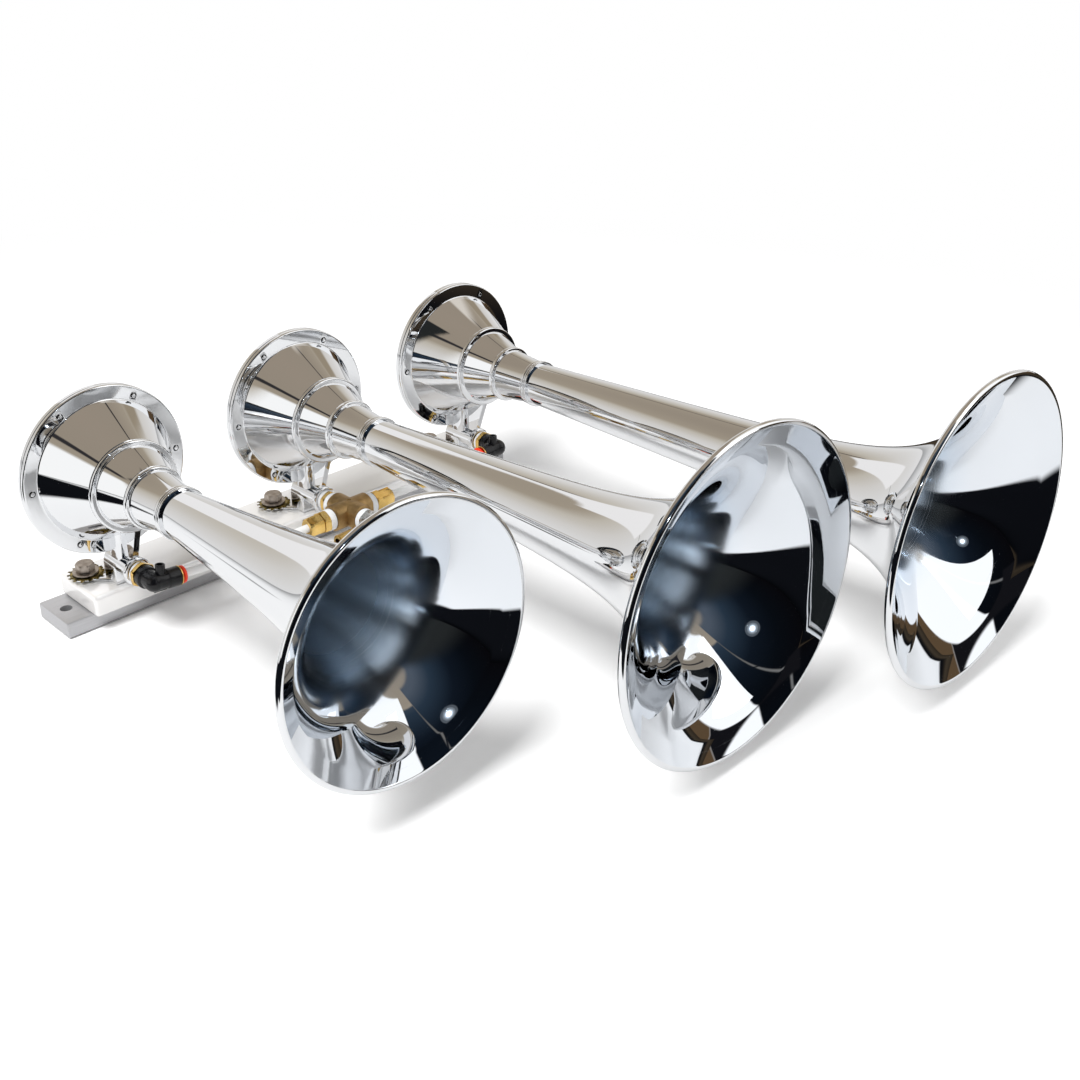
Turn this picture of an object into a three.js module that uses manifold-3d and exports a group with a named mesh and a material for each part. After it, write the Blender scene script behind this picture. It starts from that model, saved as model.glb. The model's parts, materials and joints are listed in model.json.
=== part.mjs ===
// A triple train air horn: three chromed trumpets of rising length on one mounting bar.
// Millimetres, +Z up, +X along the bar, the mouths toward -Y, the origin under the middle of the bar.
import * as THREE from 'three';
import { mergeVertices } from 'three/addons/utils/BufferGeometryUtils.js';
import Module from 'manifold-3d';

const wasm = await Module();
wasm.setup();

// Clearances
const seatGap = 0.3;
const fitGap = 0.3;
const cutOverrun = 1;
const weldDistance = 0.001;

// Side counts of the round pieces
const hornSides = 24;
const fittingSides = 12;
const smallSides = 8;

// Horn row
const hornSpacing = 166;
const axisAboveRiser = 86;
const flangeSetback = 17.8;
const shortLength = 331;
const shortMouthRadius = 86.7;
const shortTaperRadius = 35.1;
const middleLength = 427;
const middleMouthRadius = 105.5;
const middleTaperRadius = 32;
const longLength = 480;
const longMouthRadius = 103;
const longTaperRadius = 29.4;
const horns = [
  { name: 'horn_1', column: -1,
    length: shortLength, mouthRadius: shortMouthRadius, taperRadius: shortTaperRadius },
  { name: 'horn_2', column: 0,
    length: middleLength, mouthRadius: middleMouthRadius, taperRadius: middleTaperRadius },
  { name: 'horn_3', column: 1,
    length: longLength, mouthRadius: longMouthRadius, taperRadius: longTaperRadius },
];

// Mounting bar and the riser on it
const barEndReach = 49;
const barDepth = 44;
const barHeight = 12;
const barCornerRadius = 1.5;
const barHoleRadius = 4.5;
const barHoleInset = 10.5;
const riserEndReach = 30;
const riserDepth = 54.2;
const riserFrontReach = 31.2;
const riserHeight = 16.5;
const riserCornerRadius = 3;

// Chamber casting, measured from the front face of its flange toward the mouth
const flangeRadius = 62;
const flangeThickness = 3;
const flangeWidth = 10.5;
const coneBaseRadius = flangeRadius - flangeWidth;
const coneEndRadius = 32.6;
const coneLength = 36.5;
const shoulderRadius = 33.4;
const shoulderWidth = 3.3;
const neckStartRadius = 29.3;
const neckEndRadius = 20.6;
const neckLength = 23.2;
const midRingRadius = 22.5;
const midRingWidth = 3.8;
const sleeveStartRadius = 20;
const sleeveEndRadius = 17.2;
const sleeveLength = 27.2;
const endRingRadius = 18.2;
const endRingWidth = 2.6;
const chamberWall = 3.4;
const nozzleWall = 3;
const nozzleRadius = 13;
const throatRadius = 11.2;
const cavityLength = 25;

// Diaphragm, its seal and the back cover
const diaphragmInset = 2;
const diaphragmRadius = coneBaseRadius - diaphragmInset;
const diaphragmThickness = 0.6;
const sealWidth = 4;
const sealThickness = 1.6;
const rimThickness = 4.1;
const dishInset = 5;
const dishRadius = diaphragmRadius - dishInset;
const dishDepth = 2.4;
const domeWall = 3.6;
const domeEdgeInset = 0.5;
const domeEdgeRadius = coneBaseRadius - domeEdgeInset;
const domeSlope = 2;

// Cover screws: heads behind the cover, their ends just proud of the front of the flange
const screwCount = 6;
const screwInsetShare = 0.59;
const screwCircleRadius = flangeRadius - screwInsetShare * flangeWidth;
const screwHeadRadius = 3.6;
const screwHeadHeight = 2.2;
const screwRadius = 2;
const screwEndReach = 0.8;

// Air port, air box and foot of the casting
const portDrop = 71;
const portBarrelRadius = 8.6;
const portBackReach = 9;
const portMouthReach = 26;
const portRingRadius = 10.6;
const portRingWidth = 4.4;
const portRingChamfer = 1.4;
const pipeThreadRadius = 6.6;
const pipeThreadLength = 13;
const portBoreDepth = 20.8;
const passageRadius = 2.6;
const passageReach = 8;
const airColumnWidth = 13;
const airColumnDepth = 13;
const airColumnCornerRadius = 4;
const webThickness = 4.6;
const webTopReach = 35;
const footWidth = 18;
const footFrontReach = 7.7;
const footBackReach = 8.8;
const earRadius = 9.5;
const earWidth = 13;
const earThickness = 2;

// Foot bolts and their washers
const boltOffset = 18.2;
const boltBackReach = 20.5;
const boltRadius = 4;
const boltHeadAcross = 12.2;
const boltHeadHeight = 5.8;
const boltHeadChamfer = 0.8;
const boltBite = 8;
const flatWasherRadius = 9.5;
const flatWasherThickness = 1.5;
const starWasherRadius = 13.4;
const starRingRadius = 10.6;
const starWasherThickness = 1.3;
const starToothCount = 14;

// Trumpets
const trumpetWall = 1.4;
const spigotRadius = 14;
const spigotLength = 16;
const collarRadius = 18.6;
const collarWidth = 3.6;
const tubeStartRadius = 16.6;
const flareShare = 0.33;
const lipBeadRadius = 2.3;
const trumpetStations = 9;
const beadSides = 6;

// Push-to-connect elbows
const elbows = [
  { name: 'elbow_1', tube: 'air_tube_1', column: -1, droop: THREE.MathUtils.degToRad(5) },
  { name: 'elbow_3', tube: 'air_tube_3', column: 1, droop: THREE.MathUtils.degToRad(1) },
];
const tubeRadius = 3.175;
const stemAcross = 17;
const stemHexWidth = 3.6;
const tapeWidth = 3.4;
const tapeRadius = 8.4;
const stemBoreRadius = 3;
const spigotEndRadius = 5.2;
const spigotReach = 9.6;
const stemSealGroove = 1.2;
const stemSealWidth = 2;
const stemSealInset = 4;
const legCollarRadius = 8.2;
const legCollarWidth = 5.5;
const legRadius = 6.9;
const elbowReach = 22;
const barrelRootRadius = 6.6;
const barrelRootLength = 9;
const barrelRadius = 7.2;
const barrelLength = 18.4;
const barrelBoreRadius = 5.3;
const barrelBoreDepth = 12;
const endRingThickness = 0.8;
const colletTravel = 1.2;
const colletFlangeRadius = 6.5;
const colletFlangeWidth = 2.2;
const colletSleeveRadius = 4.7;
const colletSleeveLength = 7.6;
const gripRingThickness = 0.5;
const gripRingInset = 7.6;
const tubeSealWidth = 1.5;
const tubeSealInset = 10.2;
const bossRadius = 3.5;
const bossHoleRadius = 2;
const bossHeight = 6;
const bossReach = 4.8;

// Brass cross on the middle horn
const crossReach = 30.4;
const crossArmLength = 17.1;
const crossArmRadius = 10.3;
const crossArmWidth = 17;
const crossDimpleRadius = 2.2;
const crossDimpleDepth = 0.9;
const crossBoreRadius = 4.2;
const crossThreadDepth = 9.5;
const crossTapeWidth = 5.2;
const connectorAcross = 16;
const connectorHexWidth = 5.4;
const connectorThreadRadius = 5.4;
const connectorThreadLength = 5;
const nutAcross = 14.6;
const nutLength = 11.8;
const nutHexLength = 9.8;
const nutEndRadius = 6.6;
const ferruleLength = 3;
const ferruleRadius = 4.9;

// Supply elbow on the front arm of the cross, and its inlet nut
const supplyHexAcross = 17;
const supplyHexWidth = 5.6;
const supplyLegRadius = 7.5;
const supplyReach = 35.8;
const supplyCornerRadius = 8;
const supplyOutletLength = 15;
const supplyNutAcross = 12.7;
const supplyNutHexLength = 5.5;
const supplyNutLength = 23;
const supplyNutEndRadius = 5.6;
const supplyThreadLength = 8;

// Air tubes: a straight lead out of each fitting and how far the middle hangs
const tubeLead = 7;
const tubeSag = 2.2;
const tubeSteps = 12;
const tubeSides = 4;

// Heights and places that follow from the sizes above
const riserBase = barHeight + seatGap;
const riserTop = riserBase + riserHeight;
const axisHeight = riserTop + axisAboveRiser;
const footBase = seatGap - axisAboveRiser;
const mouthY = -portMouthReach;
const portBoreRadius = pipeThreadRadius + fitGap;
const tubeBoreRadius = tubeRadius + fitGap;
const shoulderY = -coneLength;
const neckY = shoulderY - shoulderWidth;
const midRingY = neckY - neckLength;
const sleeveY = midRingY - midRingWidth;
const endRingY = sleeveY - sleeveLength;
const castingEndY = endRingY - endRingWidth;
const coverFrontY = flangeThickness + seatGap;
const sealY = coverFrontY + diaphragmThickness + seatGap;
const sealSeatY = sealY + sealThickness + seatGap;
const rimBackY = coverFrontY + rimThickness;
const dishY = sealSeatY + dishDepth;
const domeY = dishY + domeWall;
const earTop = footBase + earThickness;

// Finishes
const finish = (color, roughness, metalness) => (
  new THREE.MeshStandardMaterial({ color, roughness, metalness }));
const finishes = {
  chrome: () => finish(0xd8dadd, 0.06, 1),
  satinAluminium: () => finish(0xb3b3b4, 0.45, 0.6),
  whiteEnamel: () => finish(0xeeedec, 0.25, 0.1),
  springSteel: () => finish(0x9b9a98, 0.35, 1),
  boltSteel: () => finish(0x9a8a7c, 0.35, 1),
  zincYellow: () => finish(0xa98a3f, 0.4, 1),
  brass: () => finish(0xd9a441, 0.25, 1),
  castBrass: () => finish(0x94703f, 0.5, 1),
  nickel: () => finish(0xc9c9c6, 0.18, 1),
  blackPlastic: () => finish(0x17181c, 0.35, 0),
  orangePlastic: () => finish(0xff3b14, 0.35, 0),
  whiteTape: () => finish(0xf2f3f5, 0.7, 0),
  clearNylon: () => finish(0xe9e9e6, 0.4, 0),
  rubber: () => finish(0x141414, 0.8, 0),
};

const train_air_horn = new THREE.Group();

// Turns a closed geometry into a solid that can be joined and cut.
function solidOf(geometry) {
  geometry.deleteAttribute('normal');
  geometry.deleteAttribute('uv');
  const welded = mergeVertices(geometry, weldDistance);
  const index = welded.getIndex().array;
  const faces = [];
  for (let i = 0; i < index.length; i += 3) {
    const [a, b, c] = index.slice(i, i + 3);
    if (a !== b && b !== c && c !== a) faces.push(a, b, c);
  }
  const vertProperties = new Float32Array(welded.getAttribute('position').array);
  return new wasm.Manifold(new wasm.Mesh({ numProp: 3, vertProperties, triVerts: new Uint32Array(faces) }));
}

// Adds one named piece to a group.
function addPiece(group, name, solid, material) {
  const { vertProperties, triVerts } = solid.getMesh();
  const geometry = new THREE.BufferGeometry();
  geometry.setAttribute('position', new THREE.BufferAttribute(vertProperties, 3));
  geometry.setIndex(new THREE.BufferAttribute(triVerts, 1));
  geometry.computeVertexNormals();
  const mesh = new THREE.Mesh(geometry, material);
  mesh.name = name;
  group.add(mesh);
  return mesh;
}

const join = (solids) => solids.reduce((sum, next) => sum.add(next));
const cut = (solid, tools) => tools.reduce((rest, tool) => rest.subtract(tool), solid);

// Revolves an outline of [radius, y] points about the Y axis; a loop off the axis is closed on itself.
function turned(outline, sides = fittingSides) {
  const onAxis = outline[0][0] === 0 && outline[outline.length - 1][0] === 0;
  const loop = onAxis ? [...outline] : [...outline, outline[0]];
  let area = 0;
  for (let i = 0; i < loop.length; i += 1) {
    const [r0, y0] = loop[i];
    const [r1, y1] = loop[(i + 1) % loop.length];
    area += r0 * y1 - r1 * y0;
  }
  if (area < 0) loop.reverse();
  return new THREE.LatheGeometry(loop.map(([r, y]) => new THREE.Vector2(r, y)), sides);
}

// A plain round bar along Y from one height to another.
const rod = (radius, y0, y1, sides = fittingSides) => (
  turned([[0, y0], [radius, y0], [radius, y1], [0, y1]], sides));

// A round tube along Y.
const sleeve = (inner, outer, y0, y1, sides = fittingSides) => (
  turned([[inner, y0], [outer, y0], [outer, y1], [inner, y1]], sides));

// A hexagonal bar along Y, sized across its flats.
const hexBar = (across, y0, y1) => rod(across / Math.sqrt(3), y0, y1, 6);

// Lays a geometry made along Y down along X, its far end toward +X or -X.
const alongX = (geometry, sign = 1) => geometry.rotateZ(-sign * Math.PI / 2);

// Stands a geometry made along Y up along Z.
const alongZ = (geometry) => geometry.rotateX(Math.PI / 2);

// A block with rounded vertical corners, centred in X and Y, its base at z = 0.
function roundedBlock(width, depth, height, radius, bevel = 0) {
  const x = width / 2 - bevel;
  const y = depth / 2 - bevel;
  const shape = new THREE.Shape();
  shape.moveTo(-x + radius, -y);
  shape.lineTo(x - radius, -y);
  shape.absarc(x - radius, -y + radius, radius, -Math.PI / 2, 0);
  shape.lineTo(x, y - radius);
  shape.absarc(x - radius, y - radius, radius, 0, Math.PI / 2);
  shape.lineTo(-x + radius, y);
  shape.absarc(-x + radius, y - radius, radius, Math.PI / 2, Math.PI);
  shape.lineTo(-x, -y + radius);
  shape.absarc(-x + radius, -y + radius, radius, Math.PI, 1.5 * Math.PI);
  const geometry = new THREE.ExtrudeGeometry(shape, {
    depth: height - 2 * bevel,
    curveSegments: 2,
    bevelEnabled: bevel > 0,
    bevelThickness: bevel,
    bevelSize: bevel,
    bevelSegments: 1,
  });
  return geometry.translate(0, 0, bevel);
}

// The places of the cover screws round the horn axis.
const screwPlaces = Array.from({ length: screwCount }, (_, i) => {
  const angle = (2 * Math.PI * i) / screwCount;
  return [screwCircleRadius * Math.cos(angle), screwCircleRadius * Math.sin(angle)];
});

function mountingBar() {
  const length = 2 * (hornSpacing + barEndReach);
  const block = solidOf(roundedBlock(length, barDepth, barHeight, barCornerRadius, barCornerRadius / 2));
  const holes = [-1, 1].map((side) => solidOf(alongZ(rod(barHoleRadius, -cutOverrun, barHeight + cutOverrun))
    .translate(side * (length / 2 - barHoleInset), 0, 0)));
  const bolts = horns.map(({ column }) => solidOf(alongZ(rod(boltRadius + fitGap, 0, boltBite + cutOverrun))
    .translate(column * hornSpacing - boltOffset, boltBackReach - flangeSetback, barHeight - boltBite)));
  return cut(block, [...holes, ...bolts]);
}

function riserBar() {
  const length = 2 * (hornSpacing + riserEndReach);
  const block = solidOf(roundedBlock(length, riserDepth, riserHeight, riserCornerRadius, riserCornerRadius)
    .translate(0, riserDepth / 2 - riserFrontReach, riserBase));
  const bolts = horns.map(({ column }) => (
    solidOf(alongZ(rod(boltRadius + fitGap, -cutOverrun, riserHeight + cutOverrun))
      .translate(column * hornSpacing - boltOffset, boltBackReach - flangeSetback, riserBase))));
  return cut(block, bolts);
}

function castingOuter() {
  return solidOf(turned([
    [0, flangeThickness],
    [flangeRadius, flangeThickness],
    [flangeRadius, 0],
    [coneBaseRadius, 0],
    [coneEndRadius, shoulderY],
    [shoulderRadius, shoulderY],
    [shoulderRadius, neckY],
    [neckStartRadius, neckY],
    [neckEndRadius, midRingY],
    [midRingRadius, midRingY],
    [midRingRadius, sleeveY],
    [sleeveStartRadius, sleeveY],
    [sleeveEndRadius, endRingY],
    [endRingRadius, endRingY],
    [endRingRadius, castingEndY],
    [0, castingEndY],
  ], hornSides));
}

// The ring-shaped air space round the nozzle, open to the diaphragm.
function castingCavity() {
  const slope = (coneBaseRadius - coneEndRadius) / coneLength;
  const back = flangeThickness + cutOverrun;
  const frontRadius = coneBaseRadius - slope * cavityLength - chamberWall;
  return solidOf(turned([
    [nozzleRadius + nozzleWall, back],
    [nozzleRadius + nozzleWall, -cavityLength],
    [frontRadius, -cavityLength],
    [coneBaseRadius - chamberWall, 0],
    [coneBaseRadius - chamberWall, back],
  ], hornSides));
}

// The nozzle bore and the socket that takes the trumpet.
function castingThroat() {
  const socketY = castingEndY + spigotLength + seatGap;
  return solidOf(turned([
    [0, flangeThickness + cutOverrun],
    [nozzleRadius, flangeThickness + cutOverrun],
    [throatRadius, socketY],
    [spigotRadius + fitGap, socketY],
    [spigotRadius + fitGap, castingEndY - cutOverrun],
    [0, castingEndY - cutOverrun],
  ], hornSides));
}

// The thin web between the cone and the air port, its front edge sloping back toward the port.
function castingWeb() {
  const backY = -airColumnDepth / 2;
  const footY = mouthY + portRingChamfer;
  const footZ = portRingRadius - portDrop;
  const side = new THREE.Shape();
  side.moveTo(backY, -portDrop);
  side.lineTo(footY, -portDrop);
  side.lineTo(footY, footZ);
  side.lineTo(-webTopReach, -coneEndRadius);
  side.lineTo(backY, -coneEndRadius);
  const plate = new THREE.ExtrudeGeometry(side, { depth: webThickness, bevelEnabled: false });
  return solidOf(plate.rotateX(Math.PI / 2).rotateZ(Math.PI / 2).translate(-webThickness / 2, 0, 0));
}

function chamberCasting() {
  const columnDepth = airColumnDepth + flangeThickness;
  const columnHeight = portDrop - coneEndRadius;
  const column = solidOf(roundedBlock(airColumnWidth, columnDepth, columnHeight, airColumnCornerRadius)
    .translate(0, flangeThickness - columnDepth / 2, -portDrop));
  const barrel = solidOf(rod(portBarrelRadius, mouthY + portRingWidth, portBackReach));
  const ringBackY = mouthY + portRingWidth;
  const ring = solidOf(turned([
    [0, mouthY],
    [portRingRadius - portRingChamfer, mouthY],
    [portRingRadius, mouthY + portRingChamfer],
    [portRingRadius, ringBackY - portRingChamfer],
    [portRingRadius - portRingChamfer, ringBackY],
    [0, ringBackY],
  ]));
  const drop = (solid) => solid.translate([0, 0, -portDrop]);
  const footHeight = -portDrop - footBase;
  const footDepth = footFrontReach + footBackReach;
  const foot = solidOf(new THREE.BoxGeometry(footWidth, footDepth, footHeight)
    .translate(0, (footBackReach - footFrontReach) / 2, footBase + footHeight / 2));
  const strapLength = Math.hypot(boltOffset, boltBackReach);
  const strap = solidOf(new THREE.BoxGeometry(strapLength, earWidth, earThickness)
    .translate(strapLength / 2, 0, footBase + earThickness / 2)
    .rotateZ(Math.atan2(boltBackReach, -boltOffset)));
  const ear = solidOf(alongZ(rod(earRadius, footBase, earTop)).translate(-boltOffset, boltBackReach, 0));
  const body = join([castingOuter(), column, castingWeb(), drop(barrel), drop(ring), foot, strap, ear]);
  const bore = drop(solidOf(rod(portBoreRadius, mouthY - cutOverrun, mouthY + portBoreDepth)));
  const passage = solidOf(alongZ(rod(passageRadius, 0, columnHeight, smallSides))
    .translate(0, -passageReach, -portDrop));
  const boltHole = solidOf(alongZ(rod(boltRadius + fitGap, footBase - cutOverrun, earTop + cutOverrun))
    .translate(-boltOffset, boltBackReach, 0));
  const screwHoles = screwPlaces.map(([x, z]) => (
    solidOf(rod(screwRadius + fitGap, -cutOverrun, flangeThickness + cutOverrun, smallSides)
      .translate(x, 0, z))));
  return cut(body, [castingCavity(), castingThroat(), bore, passage, boltHole, ...screwHoles]);
}

function backCover() {
  const recessRadius = diaphragmRadius + fitGap;
  const cover = solidOf(turned([
    [0, dishY],
    [dishRadius, dishY],
    [dishRadius, sealSeatY],
    [recessRadius, sealSeatY],
    [recessRadius, coverFrontY],
    [flangeRadius, coverFrontY],
    [flangeRadius, rimBackY],
    [domeEdgeRadius, rimBackY],
    [domeEdgeRadius - domeSlope, domeY],
    [0, domeY],
  ], hornSides));
  const screws = screwPlaces.map(([x, z]) => solidOf(turned([
    [0, -screwEndReach],
    [screwRadius, -screwEndReach],
    [screwRadius, rimBackY],
    [screwHeadRadius, rimBackY],
    [screwHeadRadius, rimBackY + screwHeadHeight],
    [0, rimBackY + screwHeadHeight],
  ], smallSides).translate(x, 0, z)));
  return join([cover, ...screws]);
}

const diaphragm = () => (
  solidOf(rod(diaphragmRadius, coverFrontY, coverFrontY + diaphragmThickness, hornSides)));

const diaphragmSeal = () => (
  solidOf(sleeve(diaphragmRadius - sealWidth, diaphragmRadius, sealY, sealY + sealThickness, hornSides)));

// Outer radius of a trumpet at a distance from the flange: a slow taper plus a flare that grows to the lip.
function trumpetRadius(horn, reach) {
  const start = -castingEndY + seatGap + collarWidth;
  const along = (reach - start) / (horn.length - start);
  const taper = tubeStartRadius + (horn.taperRadius - tubeStartRadius) * along;
  const lipRadius = horn.mouthRadius - lipBeadRadius;
  const flare = Math.exp((reach - horn.length) / (flareShare * horn.mouthRadius));
  return taper + (lipRadius - horn.taperRadius) * flare;
}

// Wall stations, closer together toward the lip.
function trumpetReaches(horn) {
  const start = -castingEndY + seatGap + collarWidth;
  const beadCentre = horn.length - lipBeadRadius;
  return Array.from({ length: trumpetStations }, (_, i) => {
    const left = 1 - i / (trumpetStations - 1);
    return beadCentre - (beadCentre - start) * left ** 2;
  });
}

function trumpet(horn) {
  const collarBackY = castingEndY - seatGap;
  const collarFrontY = collarBackY - collarWidth;
  const beadY = lipBeadRadius - horn.length;
  const reaches = trumpetReaches(horn);
  const outer = reaches.map((reach) => [trumpetRadius(horn, reach), -reach]);
  const inner = reaches.map((reach) => [trumpetRadius(horn, reach) - trumpetWall, -reach]);
  const bore = Math.min(throatRadius, spigotRadius - trumpetWall);
  const lip = horn.mouthRadius - lipBeadRadius;
  const bead = Array.from({ length: beadSides - 1 }, (_, i) => {
    const angle = (2 * Math.PI * (i + 1 / 2)) / beadSides;
    return [lip + lipBeadRadius * Math.sin(angle), beadY + lipBeadRadius * Math.cos(angle)];
  });
  return solidOf(turned([
    [bore, collarBackY + spigotLength],
    [spigotRadius, collarBackY + spigotLength],
    [spigotRadius, collarBackY],
    [collarRadius, collarBackY],
    [collarRadius, collarFrontY],
    ...outer.slice(0, -1),
    ...bead,
    ...inner.slice(1, -1).reverse(),
    [bore, collarFrontY],
  ], hornSides));
}

const flatWasherBase = earTop + starWasherThickness + 2 * seatGap;
const boltHeadBase = flatWasherBase + flatWasherThickness + seatGap;

// A hexagon bolt whose head has rounded-off corners.
function footBolt() {
  const corner = boltHeadAcross / Math.sqrt(3);
  const head = solidOf(alongZ(hexBar(boltHeadAcross, boltHeadBase, boltHeadBase + boltHeadHeight)));
  const crown = solidOf(alongZ(turned([
    [0, boltHeadBase],
    [corner, boltHeadBase],
    [corner, boltHeadBase + boltHeadHeight - boltHeadChamfer],
    [corner - boltHeadChamfer, boltHeadBase + boltHeadHeight],
    [0, boltHeadBase + boltHeadHeight],
  ])));
  const shankEnd = barHeight - boltBite + seatGap - axisHeight;
  const shank = solidOf(alongZ(rod(boltRadius, shankEnd, boltHeadBase)));
  return head.intersect(crown).add(shank);
}

const flatWasher = () => solidOf(alongZ(sleeve(boltRadius + fitGap, flatWasherRadius,
  flatWasherBase, flatWasherBase + flatWasherThickness)));

// An external-tooth lock washer: square teeth round a ring.
function starWasher() {
  const shape = new THREE.Shape();
  const step = Math.PI / starToothCount;
  const at = (radius, angle) => [radius * Math.cos(angle), radius * Math.sin(angle)];
  for (let i = 0; i < starToothCount; i += 1) {
    const middle = 2 * i * step;
    if (i === 0) shape.moveTo(...at(starWasherRadius, middle - step / 2));
    else shape.lineTo(...at(starWasherRadius, middle - step / 2));
    shape.lineTo(...at(starWasherRadius, middle + step / 2));
    shape.lineTo(...at(starRingRadius, middle + step / 2));
    shape.lineTo(...at(starRingRadius, middle + 1.5 * step));
  }
  const hole = new THREE.Path();
  hole.absarc(0, 0, boltRadius + fitGap, 0, 2 * Math.PI, true);
  shape.holes.push(hole);
  const washer = new THREE.ExtrudeGeometry(shape, {
    depth: starWasherThickness, curveSegments: smallSides, bevelEnabled: false });
  return solidOf(washer.translate(0, 0, earTop + seatGap));
}

// The threaded end, hexagon and swivel spigot of an elbow, along the port axis.
function elbowStem() {
  const hexY = mouthY - seatGap - tapeWidth - seatGap;
  const hexFrontY = hexY - stemHexWidth;
  const tipY = hexFrontY - spigotReach;
  const grooveY = hexFrontY - stemSealInset;
  const hex = solidOf(hexBar(stemAcross, hexFrontY, hexY));
  const core = solidOf(turned([
    [0, mouthY + pipeThreadLength],
    [pipeThreadRadius, mouthY + pipeThreadLength],
    [pipeThreadRadius, hexY - stemHexWidth / 2],
    [spigotEndRadius, hexY - stemHexWidth / 2],
    [spigotEndRadius, grooveY],
    [spigotEndRadius - stemSealGroove, grooveY],
    [spigotEndRadius - stemSealGroove, grooveY - stemSealWidth - 2 * seatGap],
    [spigotEndRadius, grooveY - stemSealWidth - 2 * seatGap],
    [spigotEndRadius, tipY],
    [0, tipY],
  ]));
  const boreEndY = mouthY + pipeThreadLength + cutOverrun;
  const bore = solidOf(rod(stemBoreRadius, tipY - cutOverrun, boreEndY, smallSides));
  return cut(join([hex, core]), [bore]);
}

const stemSeal = () => {
  const y = mouthY - 2 * seatGap - tapeWidth - stemHexWidth - stemSealInset - seatGap;
  const inner = spigotEndRadius - stemSealGroove + fitGap;
  return solidOf(sleeve(inner, spigotEndRadius, y - stemSealWidth, y));
};

const tapeRing = (y0, y1) => solidOf(sleeve(pipeThreadRadius + fitGap, tapeRadius, y0, y1));

// The black body: a collared leg on the port axis, a round corner and a barrel toward the middle horn.
function elbowBody(toward) {
  const legY = mouthY - 3 * seatGap - tapeWidth - stemHexWidth;
  const cornerY = mouthY - elbowReach;
  const lie = (geometry) => solidOf(alongX(geometry, toward).translate(0, cornerY, 0));
  const stand = (geometry) => solidOf(alongZ(geometry).translate(toward * bossReach, cornerY, 0));
  const bossTop = barrelRootRadius + bossHeight;
  const body = join([
    solidOf(rod(legCollarRadius, legY - legCollarWidth, legY)),
    solidOf(rod(legRadius, cornerY, legY)),
    solidOf(new THREE.SphereGeometry(legRadius, fittingSides, smallSides).translate(0, cornerY, 0)),
    lie(rod(barrelRootRadius, 0, barrelRootLength + seatGap)),
    lie(rod(barrelRadius, barrelRootLength, barrelLength)),
    stand(rod(bossRadius, 0, bossTop, smallSides)),
  ]);
  return cut(body, [
    solidOf(rod(spigotEndRadius + fitGap, legY - spigotReach - seatGap, legY + cutOverrun)),
    solidOf(rod(stemBoreRadius, cornerY, legY, smallSides)),
    lie(rod(stemBoreRadius, 0, barrelLength, smallSides)),
    lie(rod(barrelBoreRadius, barrelLength - barrelBoreDepth, barrelLength + cutOverrun)),
    stand(rod(bossHoleRadius, barrelRootRadius, bossTop + cutOverrun, smallSides)),
  ]);
}

const colletFlangeReach = barrelLength + seatGap + endRingThickness + colletTravel + seatGap;

function addElbow(group, { name, column, droop }) {
  addPiece(group, `${name}_stem`, elbowStem(), finishes.brass());
  addPiece(group, `${name}_thread_tape`, tapeRing(mouthY - seatGap - tapeWidth, mouthY - seatGap),
    finishes.whiteTape());
  addPiece(group, `${name}_stem_seal`, stemSeal(), finishes.rubber());
  const toward = -column;
  const swivel = new THREE.Group();
  swivel.rotation.y = toward * droop;
  group.add(swivel);
  addPiece(swivel, `${name}_body`, elbowBody(toward), finishes.blackPlastic());
  // Rings on the barrel's axis, placed by their distances from the corner.
  const ring = (inner, outer, from, width) => solidOf(alongX(sleeve(inner, outer, from, from + width), toward)
    .translate(0, mouthY - elbowReach, 0));
  const linerRadius = barrelBoreRadius - fitGap;
  addPiece(swivel, `${name}_end_ring`,
    ring(barrelBoreRadius, barrelRadius, barrelLength + seatGap, endRingThickness), finishes.brass());
  addPiece(swivel, `${name}_grip_ring`,
    ring(tubeBoreRadius, linerRadius, barrelLength - gripRingInset, gripRingThickness),
    finishes.springSteel());
  addPiece(swivel, `${name}_tube_seal`,
    ring(tubeBoreRadius, linerRadius, barrelLength - tubeSealInset, tubeSealWidth), finishes.rubber());
  addPiece(swivel, `${name}_collet`, join([
    ring(tubeBoreRadius, colletSleeveRadius, colletFlangeReach - colletSleeveLength, colletSleeveLength),
    ring(tubeBoreRadius, colletFlangeRadius, colletFlangeReach, colletFlangeWidth),
  ]), finishes.orangePlastic());
}

// The cross body: four round, threaded arms with flat sides that meet at upright corners, and a cast dimple.
function crossBody() {
  const bar = solidOf(rod(crossArmRadius, -crossArmLength, crossArmLength)).intersect(
    solidOf(new THREE.BoxGeometry(crossArmWidth, 2 * crossArmLength, 2 * crossArmRadius)));
  const dimple = solidOf(alongZ(rod(crossDimpleRadius, crossArmRadius - crossDimpleDepth,
    crossArmRadius + cutOverrun, smallSides)));
  const throughs = [rod(crossBoreRadius, -crossArmLength, crossArmLength),
    alongX(rod(crossBoreRadius, -crossArmLength, crossArmLength))].map(solidOf);
  const threadStart = crossArmLength - crossThreadDepth;
  const thread = () => rod(portBoreRadius, threadStart, crossArmLength + cutOverrun);
  const threads = [thread(), thread().rotateZ(Math.PI), alongX(thread()), alongX(thread(), -1)].map(solidOf);
  return cut(bar.add(bar.rotate([0, 0, 90])), [dimple, ...throughs, ...threads]);
}

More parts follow.
